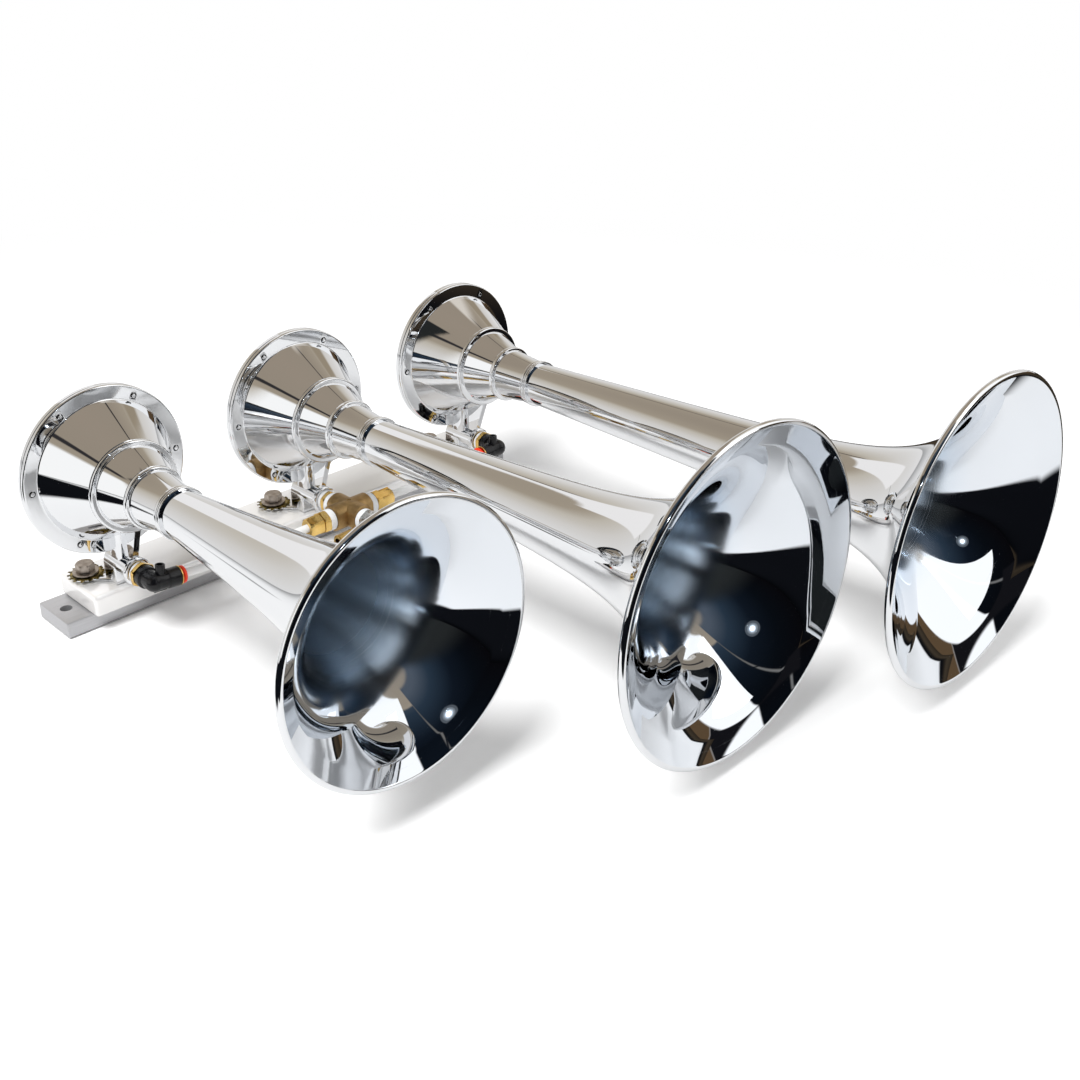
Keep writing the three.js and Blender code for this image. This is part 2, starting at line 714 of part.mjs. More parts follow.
// The nipple between the middle horn's port and the rear arm of the cross, in the horn's own places.
function crossNipple() {
  const armEndY = mouthY - crossReach + crossArmLength;
  const hexFrontY = armEndY + crossTapeWidth + 2 * seatGap;
  const coreFrontY = armEndY - crossThreadDepth + seatGap;
  const coreBackY = mouthY + pipeThreadLength;
  const hex = solidOf(hexBar(connectorAcross, hexFrontY, mouthY - 2 * seatGap - tapeWidth));
  const core = solidOf(rod(pipeThreadRadius, coreFrontY, coreBackY));
  const bore = solidOf(rod(crossBoreRadius, coreFrontY - cutOverrun, coreBackY + cutOverrun));
  return cut(join([hex, core]), [bore]);
}

const connectorHexReach = crossArmLength + crossTapeWidth + 2 * seatGap;
const connectorThreadReach = connectorHexReach + connectorHexWidth;
const nutReach = connectorThreadReach + seatGap;
const nutEndReach = nutReach + nutLength;
const ferruleReach = connectorThreadReach + connectorThreadLength + seatGap;

// Pieces of a side outlet, drawn along Y from the middle of the cross.
function outletConnector() {
  const tipReach = crossArmLength - crossThreadDepth + seatGap;
  const hex = solidOf(hexBar(connectorAcross, connectorHexReach, connectorThreadReach));
  const thread = solidOf(rod(pipeThreadRadius, tipReach, connectorHexReach));
  const tail = solidOf(rod(connectorThreadRadius, connectorThreadReach, ferruleReach - seatGap));
  const bore = solidOf(rod(tubeBoreRadius, tipReach - cutOverrun, ferruleReach));
  return cut(join([hex, thread, tail]), [bore]);
}

function outletNut() {
  const corner = nutAcross / Math.sqrt(3);
  const hex = solidOf(hexBar(nutAcross, nutReach, nutEndReach));
  const envelope = solidOf(turned([
    [0, nutReach],
    [corner, nutReach],
    [corner, nutReach + nutHexLength],
    [nutEndRadius, nutEndReach],
    [0, nutEndReach],
  ]));
  const threadBore = solidOf(rod(connectorThreadRadius + fitGap, nutReach - cutOverrun,
    ferruleReach + ferruleLength + seatGap));
  const tubeBore = solidOf(rod(tubeBoreRadius, nutReach, nutEndReach + cutOverrun));
  return cut(hex.intersect(envelope), [threadBore, tubeBore]);
}

const outletFerrule = () => (
  solidOf(sleeve(tubeBoreRadius, ferruleRadius, ferruleReach, ferruleReach + ferruleLength)));

// Turns a solid drawn along Y toward +X or -X.
const towardX = (solid, sign) => solid.rotate([0, 0, -sign * 90]);

function addOutlet(group, name, sign) {
  addPiece(group, `${name}_connector`, towardX(outletConnector(), sign), finishes.brass());
  addPiece(group, `${name}_tape`,
    towardX(tapeRing(crossArmLength + seatGap, crossArmLength + seatGap + crossTapeWidth), sign),
    finishes.whiteTape());
  addPiece(group, `${name}_nut`, towardX(outletNut(), sign), finishes.brass());
  addPiece(group, `${name}_ferrule`, towardX(outletFerrule(), sign), finishes.brass());
}

// The plated supply elbow on the front arm, turning toward -X.
function supplyElbow() {
  const cornerY = -supplyReach;
  const tipY = crossThreadDepth - seatGap - crossArmLength;
  const hex = solidOf(hexBar(supplyHexAcross, -connectorHexReach - supplyHexWidth, -connectorHexReach));
  const thread = solidOf(rod(pipeThreadRadius, -connectorHexReach, tipY));
  const leg = solidOf(rod(supplyLegRadius, cornerY, -connectorHexReach));
  const corner = solidOf(new THREE.SphereGeometry(supplyCornerRadius, fittingSides, smallSides)
    .translate(0, cornerY, 0));
  const outlet = solidOf(alongX(rod(supplyLegRadius, 0, supplyOutletLength), -1)
    .translate(0, cornerY, 0));
  const boreIn = solidOf(rod(tubeBoreRadius, cornerY, tipY + cutOverrun, smallSides));
  const boreOut = solidOf(alongX(rod(connectorThreadRadius + fitGap, 0, supplyOutletLength + cutOverrun), -1)
    .translate(0, cornerY, 0));
  return cut(join([hex, thread, leg, corner, outlet]), [boreIn, boreOut]);
}

function supplyNut() {
  const hexFrom = supplyOutletLength + seatGap;
  const end = hexFrom + supplyNutLength;
  const corner = supplyNutAcross / Math.sqrt(3);
  const hex = solidOf(hexBar(supplyNutAcross, hexFrom, end));
  const envelope = solidOf(turned([
    [0, hexFrom],
    [corner, hexFrom],
    [corner, hexFrom + supplyNutHexLength],
    [supplyNutAcross / 2, hexFrom + supplyNutHexLength + seatGap],
    [supplyNutEndRadius, end],
    [0, end],
  ]));
  const thread = solidOf(rod(connectorThreadRadius, hexFrom - supplyThreadLength, hexFrom));
  const bore = solidOf(rod(tubeBoreRadius, hexFrom - supplyThreadLength - cutOverrun, end + cutOverrun));
  const nut = cut(hex.intersect(envelope).add(thread), [bore]);
  return nut.rotate([0, 0, 90]).translate([0, -supplyReach, 0]);
}

// An air tube from an elbow's barrel to the cross: straight in both fittings, hanging a little between.
function airTube({ column, droop }) {
  const cornerX = column * hornSpacing;
  const y = -flangeSetback - portMouthReach - elbowReach;
  const z = axisHeight - portDrop;
  const out = new THREE.Vector3(-column * Math.cos(droop), 0, -Math.sin(droop));
  const corner = new THREE.Vector3(cornerX, y, z);
  const fromElbow = (reach) => corner.clone().addScaledVector(out, reach);
  const crossY = -flangeSetback - portMouthReach - crossReach;
  const fromCross = (reach) => new THREE.Vector3(column * reach, crossY, z);
  const colletMouth = colletFlangeReach + colletFlangeWidth;
  const start = barrelLength - barrelBoreDepth + seatGap;
  const middle = fromElbow(colletMouth + tubeLead).lerp(fromCross(nutEndReach + tubeLead), 1 / 2);
  middle.z -= tubeSag;
  const path = new THREE.CatmullRomCurve3([
    fromElbow(start),
    fromElbow((start + colletMouth) / 2),
    fromElbow(colletMouth),
    fromElbow(colletMouth + tubeLead),
    middle,
    fromCross(nutEndReach + tubeLead),
    fromCross(nutEndReach),
    fromCross((nutEndReach + connectorThreadReach) / 2),
    fromCross(connectorThreadReach),
  ]);
  const section = new THREE.Shape();
  section.absarc(0, 0, tubeRadius, 0, 2 * Math.PI);
  return solidOf(new THREE.ExtrudeGeometry(section, {
    steps: 2 * tubeSteps, curveSegments: tubeSides, extrudePath: path, bevelEnabled: false }));
}

addPiece(train_air_horn, 'mounting_bar', mountingBar(), finishes.satinAluminium());
addPiece(train_air_horn, 'riser_bar', riserBar(), finishes.whiteEnamel());

for (const horn of horns) {
  const group = new THREE.Group();
  group.position.set(horn.column * hornSpacing, -flangeSetback, axisHeight);
  addPiece(group, `${horn.name}_chamber`, chamberCasting(), finishes.chrome());
  addPiece(group, `${horn.name}_back_cover`, backCover(), finishes.chrome());
  addPiece(group, `${horn.name}_diaphragm`, diaphragm(), finishes.springSteel());
  addPiece(group, `${horn.name}_diaphragm_seal`, diaphragmSeal(), finishes.rubber());
  addPiece(group, `${horn.name}_trumpet`, trumpet(horn), finishes.chrome());
  const foot = new THREE.Group();
  foot.position.set(-boltOffset, boltBackReach, 0);
  group.add(foot);
  addPiece(foot, `${horn.name}_foot_bolt`, footBolt(), finishes.boltSteel());
  addPiece(foot, `${horn.name}_flat_washer`, flatWasher(), finishes.boltSteel());
  addPiece(foot, `${horn.name}_star_washer`, starWasher(), finishes.zincYellow());
  const port = new THREE.Group();
  port.position.set(0, 0, -portDrop);
  group.add(port);
  elbows.filter(({ column }) => column === horn.column).forEach((elbow) => addElbow(port, elbow));
  if (horn.column === 0) {
    addPiece(port, 'cross_nipple', crossNipple(), finishes.brass());
    addPiece(port, 'cross_nipple_port_tape', tapeRing(mouthY - seatGap - tapeWidth, mouthY - seatGap),
      finishes.whiteTape());
    const armEndY = mouthY - crossReach + crossArmLength;
    addPiece(port, 'cross_nipple_tape', tapeRing(armEndY + seatGap, armEndY + seatGap + crossTapeWidth),
      finishes.whiteTape());
    const cross = new THREE.Group();
    cross.position.set(0, mouthY - crossReach, 0);
    port.add(cross);
    addPiece(cross, 'cross_body', crossBody(), finishes.castBrass());
    addOutlet(cross, 'cross_left', -1);
    addOutlet(cross, 'cross_right', 1);
    addPiece(cross, 'supply_tape',
      tapeRing(-crossArmLength - seatGap - crossTapeWidth, -crossArmLength - seatGap), finishes.whiteTape());
    addPiece(cross, 'supply_elbow', supplyElbow(), finishes.nickel());
    addPiece(cross, 'supply_nut', supplyNut(), finishes.brass());
  }
  train_air_horn.add(group);
}

for (const elbow of elbows) addPiece(train_air_horn, elbow.tube, airTube(elbow), finishes.clearNylon());

export default train_air_horn;
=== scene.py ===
import json
import math

import bmesh
import bpy
from mathutils import Matrix, Vector

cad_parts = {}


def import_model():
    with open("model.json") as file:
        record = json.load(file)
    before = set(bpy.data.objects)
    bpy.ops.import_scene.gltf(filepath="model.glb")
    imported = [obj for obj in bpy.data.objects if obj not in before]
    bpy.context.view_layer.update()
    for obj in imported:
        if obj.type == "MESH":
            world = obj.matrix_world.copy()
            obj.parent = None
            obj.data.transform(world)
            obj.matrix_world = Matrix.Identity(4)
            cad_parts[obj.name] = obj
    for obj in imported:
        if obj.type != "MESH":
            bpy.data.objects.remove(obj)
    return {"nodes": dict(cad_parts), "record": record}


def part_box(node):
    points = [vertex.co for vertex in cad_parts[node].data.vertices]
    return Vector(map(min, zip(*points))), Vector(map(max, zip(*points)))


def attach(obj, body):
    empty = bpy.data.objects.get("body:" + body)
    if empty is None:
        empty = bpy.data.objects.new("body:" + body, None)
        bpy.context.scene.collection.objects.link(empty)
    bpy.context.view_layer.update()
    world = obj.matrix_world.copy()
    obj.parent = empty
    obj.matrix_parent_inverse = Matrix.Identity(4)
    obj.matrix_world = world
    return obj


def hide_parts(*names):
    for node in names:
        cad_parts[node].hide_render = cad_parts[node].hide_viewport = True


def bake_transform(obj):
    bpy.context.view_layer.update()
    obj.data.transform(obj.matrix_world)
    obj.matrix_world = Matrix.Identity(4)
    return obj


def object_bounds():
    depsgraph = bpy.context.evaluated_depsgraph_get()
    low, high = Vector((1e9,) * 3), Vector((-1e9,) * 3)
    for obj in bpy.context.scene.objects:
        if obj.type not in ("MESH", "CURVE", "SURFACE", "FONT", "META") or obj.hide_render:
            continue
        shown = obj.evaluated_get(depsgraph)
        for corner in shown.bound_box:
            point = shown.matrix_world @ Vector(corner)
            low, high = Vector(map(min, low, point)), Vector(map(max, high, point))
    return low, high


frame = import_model()
cad_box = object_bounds()

MM = 0.001
HORNS = ("horn_1", "horn_2", "horn_3")
ROOT = "horn_set"

# Sizes in millimetres, the same as the part's own
SEAT = 0.3
FLANGE_RADIUS = 62
FLANGE_THICKNESS = 3
CONE_BASE = 51.5
CONE_END = 32.6
CONE_LENGTH = 36.5
SHOULDER_RADIUS = 33.4
SHOULDER_WIDTH = 3.3
NECK_START = 29.3
NECK_END = 20.6
NECK_LENGTH = 23.2
MID_RING_RADIUS = 22.5
MID_RING_WIDTH = 3.8
SLEEVE_START = 20
SLEEVE_END = 17.2
SLEEVE_LENGTH = 27.2
END_RING_RADIUS = 18.2
END_RING_WIDTH = 2.6
THROAT_RADIUS = 12
RIM_THICKNESS = 4.1
DOME_EDGE = 51
DOME_BACK = 11.9
SCREW_CIRCLE = 55.8
SCREW_COUNT = 6
SCREW_RADIUS = 2
SCREW_HEAD_RADIUS = 3.6
SCREW_HEAD_HEIGHT = 2.2
SCREW_END = 0.8
PORT_DROP = 71
PORT_BARREL = 8.6
PORT_BACK = 9
PORT_MOUTH = 26
PORT_RING_RADIUS = 10.6
PORT_RING_WIDTH = 4.4
THREAD_RADIUS = 6.6
AIRWAY = 4
COLUMN_WIDTH = 13
COLUMN_DEPTH = 13
WEB_THICKNESS = 4.6
WEB_TOP = 35
FOOT_WIDTH = 18
FOOT_FRONT = 7.7
FOOT_BACK = 8.8
FOOT_DROP = 85.7
EAR_RADIUS = 9.5
EAR_WIDTH = 13
EAR_THICKNESS = 2
BOLT_OFFSET = 18.2
BOLT_BACK = 20.5
BOLT_ACROSS = 12.2
BOLT_HEAD = 5.8
WASHER_RADIUS = 9.5
WASHER_THICKNESS = 1.5
STAR_RADIUS = 13.4
STAR_RING = 10.6
STAR_THICKNESS = 1.3
STAR_TEETH = 14
BOLT_HOLE = 4.3
COLLAR_RADIUS = 18.6
COLLAR_WIDTH = 3.6
TUBE_START = 16.6
TAPER = {"horn_1": 35.1, "horn_2": 32, "horn_3": 29.4}
FLARE_SHARE = 0.33
TRUMPET_WALL = 1.4
LIP_BEAD = 2.3
TUBE_RADIUS = 3.175
TAPE_RADIUS = 8.4
STEM_TAPE = 3.4
STEM_ACROSS = 17
STEM_HEX = 3.6
ELBOW_REACH = 22
ELBOW_DROOP = {"horn_1": 5, "horn_3": 1}
LEG_RADIUS = 6.9
LEG_COLLAR = 8.2
LEG_COLLAR_WIDTH = 5.5
BARREL_ROOT = 6.6
BARREL_ROOT_LENGTH = 9
BARREL_RADIUS = 7.2
BARREL_LENGTH = 18.4
BARREL_BORE = 5.3
END_RING_THICKNESS = 0.8
COLLET_TRAVEL = 1.2
COLLET_FLANGE = 6.5
COLLET_FLANGE_WIDTH = 2.2
BOSS_RADIUS = 3.5
BOSS_HOLE = 2
BOSS_HEIGHT = 6
BOSS_REACH = 4.8
CROSS_REACH = 30.4
CROSS_ARM = 17.1
CROSS_ARM_RADIUS = 10.3
CROSS_ARM_WIDTH = 17
CROSS_TAPE = 5.2
HEX_ACROSS = 16
HEX_WIDTH = 5.4
NUT_ACROSS = 14.6
NUT_LENGTH = 11.8
NUT_HEX = 9.8
NUT_END = 6.6
SUPPLY_ACROSS = 17
SUPPLY_HEX = 5.6
SUPPLY_LEG = 7.5
SUPPLY_REACH = 35.8
SUPPLY_OUTLET = 15
SUPPLY_NUT_ACROSS = 12.7
SUPPLY_NUT_HEX = 5.5
SUPPLY_NUT_LENGTH = 23
SUPPLY_NUT_END = 5.6
TUBE_LEAD = 7
TUBE_SAG = 2.2
RISER_CORNER = 3
BAR_HOLE_RADIUS = 4.5
BAR_HOLE_INSET = 10.5

# Round counts of the fine meshes
ROUND = 160
SMALL_ROUND = 64
HOLE_ROUND = 32
SCREW_ROUND = 24
FILLET_STEPS = 6


def camera():
    """The photograph's viewpoint, from a fit of the rings, lips, ports and bar to the picture."""
    focal_pixels = 1336.4
    frame_pixels = 1080
    centre_pixels = (475.6, 470.2)
    sensor = 36
    yaw, pitch, roll = (math.radians(angle) for angle in (42.26, -24.21, -1.49))
    ahead = Vector((math.sin(yaw) * math.cos(pitch), math.cos(yaw) * math.cos(pitch), math.sin(pitch)))
    level = Vector((math.cos(yaw), -math.sin(yaw), 0))
    upright = level.cross(ahead)
    right = level * math.cos(roll) + upright * math.sin(roll)
    up = upright * math.cos(roll) - level * math.sin(roll)
    data = bpy.data.cameras.new("camera")
    data.sensor_width = sensor
    data.lens = focal_pixels * sensor / frame_pixels
    data.shift_x = (frame_pixels / 2 - centre_pixels[0]) / frame_pixels
    data.shift_y = (centre_pixels[1] - frame_pixels / 2) / frame_pixels
    data.clip_end = 100
    obj = bpy.data.objects.new("camera", data)
    turn = Matrix((right, up, -ahead)).transposed().to_4x4()
    obj.matrix_world = Matrix.Translation(Vector((-552, -827.8, 493.8)) * MM) @ turn
    bpy.context.collection.objects.link(obj)
    bpy.context.scene.camera = obj


class Graph:
    """Short ways to build a node tree."""

    def __init__(self, tree):
        self.tree = tree

    def node(self, kind, inputs=None, **settings):
        new = self.tree.nodes.new(kind)
        for key, value in settings.items():
            setattr(new, key, value)
        for key, value in (inputs or {}).items():
            self.give(new.inputs[key], value)
        return new

    def give(self, socket, value):
        """Sets a socket to a value, or links another node's output to it."""
        if isinstance(value, bpy.types.NodeSocket):
            self.tree.links.new(value, socket)
        else:
            socket.default_value = value

    def calc(self, operation, a, b=0.0):
        return self.node("ShaderNodeMath", {0: a, 1: b}, operation=operation).outputs[0]

    def span(self, value, low, high, start=0.0, end=1.0, **settings):
        """Goes from low to high while the value goes from start to end."""
        inputs = {"Value": value, "From Min": start, "From Max": end, "To Min": low, "To Max": high}
        return self.node("ShaderNodeMapRange", inputs, **settings).outputs["Result"]

    def step(self, value, start, end):
        return self.span(value, 0.0, 1.0, start, end, interpolation_type="SMOOTHSTEP")

    def inside(self, value, low, high, soft):
        """1 between low and high and 0 outside, with soft edges."""
        enter = self.step(value, low - soft, low + soft)
        leave = self.step(value, high - soft, high + soft)
        return self.calc("MULTIPLY", enter, self.calc("SUBTRACT", 1.0, leave))

    def mix(self, factor, a, b):
        new = self.node("ShaderNodeMix", data_type="RGBA")
        first, second = [socket for socket in new.inputs if socket.type == "RGBA"][:2]
        for socket, value in ((new.inputs[0], factor), (first, a), (second, b)):
            self.give(socket, (*value, 1) if isinstance(value, tuple) else value)
        return next(socket for socket in new.outputs if socket.type == "RGBA")

    def ramp(self, value, stops):
        new = self.node("ShaderNodeValToRGB", {"Fac": value})
        elements = new.color_ramp.elements
        for index, (position, color) in enumerate(stops):
            element = elements[index] if index < 2 else elements.new(position)
            element.position = position
            element.color = (*color, 1)
        return new.outputs["Color"]


class Shader(Graph):
    """A material with a Principled shader and short ways to add procedural detail."""

    def __init__(self, name, color, metallic=0.0, roughness=0.5, **sockets):
        self.material = bpy.data.materials.new(name)
        self.material.use_nodes = True
        super().__init__(self.material.node_tree)
        self.shader = self.tree.nodes["Principled BSDF"]
        self.link((*color, 1), "Base Color")
        self.link(metallic, "Metallic")
        self.link(roughness, "Roughness")
        for socket, value in sockets.items():
            self.link(value, socket.replace("_", " "))
        self.place = self.node("ShaderNodeTexCoord").outputs["Object"]

    def link(self, value, socket):
        self.give(self.shader.inputs[socket], value)

    def stretched(self, scale):
        return self.node("ShaderNodeVectorMath", {0: self.place, 1: scale}, operation="MULTIPLY").outputs[0]

    def noise(self, scale, detail=3.0, vector=None, roughness=0.5):
        inputs = {"Vector": vector or self.place, "Scale": scale, "Detail": detail, "Roughness": roughness}
        return self.node("ShaderNodeTexNoise", inputs).outputs["Fac"]

    def bump(self, height, strength, distance):
        inputs = {"Height": height, "Strength": strength, "Distance": distance}
        self.link(self.node("ShaderNodeBump", inputs).outputs["Normal"], "Normal")


def chrome():
    shader = Shader("chrome", (0.79, 0.80, 0.815), 1.0)
    shader.link(shader.span(shader.noise(45, 4), 0.01, 0.05), "Roughness")
    shader.bump(shader.noise(160, 2), 0.012, 0.0004)
    return shader.material


def spun_chrome():
    """The inside of a bell: polished near the lip, deeper down satin, with fine turning lines that
    stretch a reflection across them. Deeper down its colour turns bluish, a painted reflection of the bluish
    room."""
    shader = Shader("spun_chrome", (0.76, 0.79, 0.83), 1.0, Anisotropic=0.9, Anisotropic_Rotation=0.25)
    around = shader.node("ShaderNodeTangent", direction_type="RADIAL", axis="Y").outputs["Tangent"]
    shader.link(around, "Tangent")
    parts = shader.node("ShaderNodeSeparateXYZ", {0: shader.place}).outputs
    flat = shader.node("ShaderNodeCombineXYZ", {"X": parts["X"], "Z": parts["Z"]}).outputs[0]
    radius = shader.node("ShaderNodeVectorMath", {0: flat}, operation="LENGTH").outputs["Value"]
    ringed = shader.node("ShaderNodeCombineXYZ", {"X": radius, "Y": parts["Y"]}).outputs[0]
    lines = shader.noise(1500, 4, ringed, 0.7)
    deep = shader.span(radius, 1.0, 0.0, 0.026, 0.052)
    scratches = shader.span(lines, 0.0, 0.22, 0.62, 0.74)
    satin = shader.span(deep, 0.015, 0.36)
    shader.link(shader.calc("ADD", scratches, satin), "Roughness")
    # Painted reflection: the colour turns bluish deeper down to stand in for the bluish room seen in the
    # satin metal
    shader.link(shader.ramp(deep, [(0.0, (0.76, 0.79, 0.83)), (1.0, (0.60, 0.71, 0.82))]), "Base Color")
    shader.bump(shader.calc("MULTIPLY", lines, deep), 0.1, 0.0002)
    return shader.material


def riser_white():
    shader = Shader("riser_white", (0.94, 0.93, 0.92), 0.3)
    shader.link(shader.span(shader.noise(30, 3), 0.1, 0.16), "Roughness")
    shader.bump(shader.noise(260, 2), 0.015, 0.0002)
    return shader.material


def bar_grey():
    shader = Shader("bar_grey", (0.62, 0.62, 0.63), 0.6)
    grain = shader.noise(14, 4, shader.stretched((3, 120, 120)), 0.65)
    shader.link(shader.span(grain, 0.28, 0.42), "Roughness")
    shader.link(shader.ramp(grain, [(0.3, (0.46, 0.46, 0.475)), (0.7, (0.56, 0.56, 0.575))]), "Base Color")
    shader.bump(grain, 0.12, 0.0002)
    return shader.material


def bolt_steel():
    shader = Shader("bolt_steel", (0.42, 0.36, 0.31), 0.9)
    cloud = shader.noise(220, 4)
    shader.link(shader.ramp(cloud, [(0.3, (0.30, 0.25, 0.21)), (0.7, (0.55, 0.49, 0.43))]), "Base Color")
    shader.link(shader.span(cloud, 0.3, 0.45), "Roughness")
    shader.bump(shader.noise(900, 3), 0.08, 0.0002)
    return shader.material


def zinc_yellow():
    shader = Shader("zinc_yellow", (0.45, 0.33, 0.10), 1.0)
    cloud = shader.noise(320, 4)
    stops = [(0.35, (0.06, 0.055, 0.02)), (0.55, (0.22, 0.17, 0.05)), (0.75, (0.60, 0.42, 0.14))]
    shader.link(shader.ramp(cloud, stops), "Base Color")
    shader.link(shader.span(cloud, 0.2, 0.4), "Roughness")
    return shader.material


def brass():
    shader = Shader("brass", (0.80, 0.53, 0.17), 1.0)
    cloud = shader.noise(150, 4)
    shader.link(shader.ramp(cloud, [(0.3, (0.76, 0.49, 0.14)), (0.7, (0.86, 0.60, 0.22))]), "Base Color")
    shader.link(shader.span(cloud, 0.16, 0.3), "Roughness")
    shader.bump(shader.noise(1200, 2), 0.06, 0.0002)
    return shader.material


def cast_brass():
    shader = Shader("cast_brass", (0.40, 0.25, 0.10), 0.9)
    cloud = shader.noise(180, 5)
    shader.link(shader.ramp(cloud, [(0.3, (0.30, 0.19, 0.08)), (0.7, (0.50, 0.33, 0.14))]), "Base Color")
    shader.link(shader.span(cloud, 0.38, 0.55), "Roughness")
    shader.bump(shader.noise(600, 4), 0.25, 0.0003)
    return shader.material


def nickel():
    shader = Shader("nickel", (0.66, 0.66, 0.64), 1.0)
    shader.link(shader.span(shader.noise(120, 4), 0.12, 0.22), "Roughness")
    shader.bump(shader.noise(700, 3), 0.05, 0.0002)
    return shader.material


def spring_steel():
    shader = Shader("spring_steel", (0.50, 0.50, 0.49), 1.0)
    shader.link(shader.span(shader.noise(40, 4, shader.stretched((1, 1, 30))), 0.25, 0.4), "Roughness")
    return shader.material


def white_tape():
    shader = Shader("white_tape", (0.86, 0.87, 0.88), 0.0, 0.6)
    layers = shader.noise(900, 3, shader.stretched((1, 3, 1)))
    shader.link(shader.ramp(layers, [(0.3, (0.78, 0.79, 0.80)), (0.7, (0.90, 0.91, 0.92))]), "Base Color")
    shader.bump(layers, 0.3, 0.0002)
    return shader.material


def black_plastic():
    shader = Shader("black_plastic", (0.004, 0.004, 0.005), 0.0, Specular_IOR_Level=0.35)
    shader.link(shader.span(shader.noise(300, 3), 0.2, 0.3), "Roughness")
    shader.bump(shader.noise(1800, 2), 0.04, 0.0001)
    return shader.material


def orange_plastic():
    shader = Shader("orange_plastic", (0.95, 0.045, 0.008), 0.0)
    shader.link(shader.span(shader.noise(300, 3), 0.28, 0.4), "Roughness")
    shader.bump(shader.noise(1500, 2), 0.05, 0.0001)
    return shader.material


def clear_nylon():
    shader = Shader("clear_nylon", (0.91, 0.91, 0.90), 0.0, 0.3, IOR=1.5)
    shader.link(shader.span(shader.noise(80, 3), 0.2, 0.32), "Roughness")
    shader.bump(shader.noise(400, 2), 0.03, 0.0001)
    return shader.material


def seal_rubber():
    shader = Shader("seal_rubber", (0.02, 0.02, 0.02), 0.0)
    shader.link(shader.span(shader.noise(400, 3), 0.6, 0.8), "Roughness")
    return shader.material


def dark_socket():
    shader = Shader("dark_socket", (0.012, 0.012, 0.014), 0.6)
    shader.link(shader.span(shader.noise(500, 2), 0.4, 0.6), "Roughness")
    return shader.material


MATERIALS = {make.__name__: make() for make in (
    chrome, spun_chrome, riser_white, bar_grey, bolt_steel, zinc_yellow, brass, cast_brass, nickel,
    spring_steel, white_tape, black_plastic, orange_plastic, clear_nylon, seal_rubber, dark_socket)}


def soften(points):
    """Rounds the corners of an outline whose points are (radius, height) or (radius, height, fillet)."""
    out = []
    for index, point in enumerate(points):
        corner = Vector(point[:2])
        fillet = point[2] if len(point) > 2 else 0
        if not fillet or index in (0, len(points) - 1):
            out.append(corner)
            continue
        back = Vector(points[index - 1][:2]) - corner
        on = Vector(points[index + 1][:2]) - corner
        reach = fillet / max(math.tan(back.angle(on) / 2), 0.05)
        reach = min(reach, 0.48 * back.length, 0.48 * on.length)
        first = corner + back.normalized() * reach
        last = corner + on.normalized() * reach
        for step in range(FILLET_STEPS + 1):
            t = step / FILLET_STEPS
            out.append(first * (1 - t) ** 2 + corner * 2 * t * (1 - t) + last * t ** 2)
    return out


def spin(points, rounds=SMALL_ROUND, closed=False):
    """A surface of revolution about the local Y axis, from an outline in millimetres."""
    mesh = bmesh.new()
    outline = soften(points)
    rings = []
    for radius, height in outline:
        if radius < 1e-6:
            rings.append([mesh.verts.new((0, height * MM, 0))] * rounds)
            continue
        turns = [2 * math.pi * k / rounds for k in range(rounds)]
        rings.append([mesh.verts.new((radius * MM * math.cos(a), height * MM, radius * MM * math.sin(a)))
                      for a in turns])
    pairs = list(zip(rings, rings[1:]))
    if closed:
        pairs.append((rings[-1], rings[0]))
    for one, two in pairs:
        for k in range(rounds):
            corners = [one[k], one[(k + 1) % rounds], two[(k + 1) % rounds], two[k]]
            corners = list(dict.fromkeys(corners))
            if len(corners) > 2:
                mesh.faces.new(corners)
    bmesh.ops.recalc_face_normals(mesh, faces=mesh.faces)
    return mesh


def trimmed(limit, points, bore=0.0, rounds=96):
    """A bar along Y. The outline gives its largest radius at each height, and limit(turn) trims it to its
    flats."""
    mesh = bmesh.new()
    turns = [2 * math.pi * k / rounds for k in range(rounds)]
    outline = soften(points)
    loop = [[(min(radius, limit(a)), height, a) for a in turns] for radius, height in outline]
    loop += [[(bore, height, a) for a in turns] for height in (outline[-1][1], outline[0][1])]
    rings = [[mesh.verts.new((reach * MM * math.cos(a), height * MM, reach * MM * math.sin(a)))
              for reach, height, a in ring] for ring in loop]
    for one, two in zip(rings, rings[1:] + rings[:1]):
        for k in range(rounds):
            mesh.faces.new((one[k], one[(k + 1) % rounds], two[(k + 1) % rounds], two[k]))
    if not bore:
        bmesh.ops.remove_doubles(mesh, verts=rings[-1] + rings[-2], dist=1e-7)
        loose = [edge for edge in mesh.edges if not edge.link_faces]
        bmesh.ops.delete(mesh, geom=loose, context="EDGES")
    bmesh.ops.recalc_face_normals(mesh, faces=mesh.faces)
    return mesh


def hexagon(across, points, bore=0.0):
    """A hexagonal bar along Y."""
    def limit(turned):
        beside = (turned + math.pi / 6) % (math.pi / 3) - math.pi / 6
        return across / 2 / math.cos(beside)
    return trimmed(limit, points, bore)


def flat_sided(width, points):
    """A round bar along Y with two upright flat sides."""
    return trimmed(lambda turned: width / 2 / max(abs(math.cos(turned)), 1e-6), points)


def block(low, high, bevel, segments=3):
    """A box between two corners, in millimetres, with rounded edges."""
    mesh = bmesh.new()
    bmesh.ops.create_cube(mesh, size=1)
    size = [(b - a) * MM for a, b in zip(low, high)]
    middle = [(a + b) / 2 * MM for a, b in zip(low, high)]
    bmesh.ops.scale(mesh, vec=size, verts=mesh.verts)
    bmesh.ops.translate(mesh, vec=middle, verts=mesh.verts)
    if bevel:
        bmesh.ops.bevel(mesh, geom=mesh.edges[:], offset=bevel * MM, segments=segments, profile=0.5,
                        affect="EDGES")
    return mesh


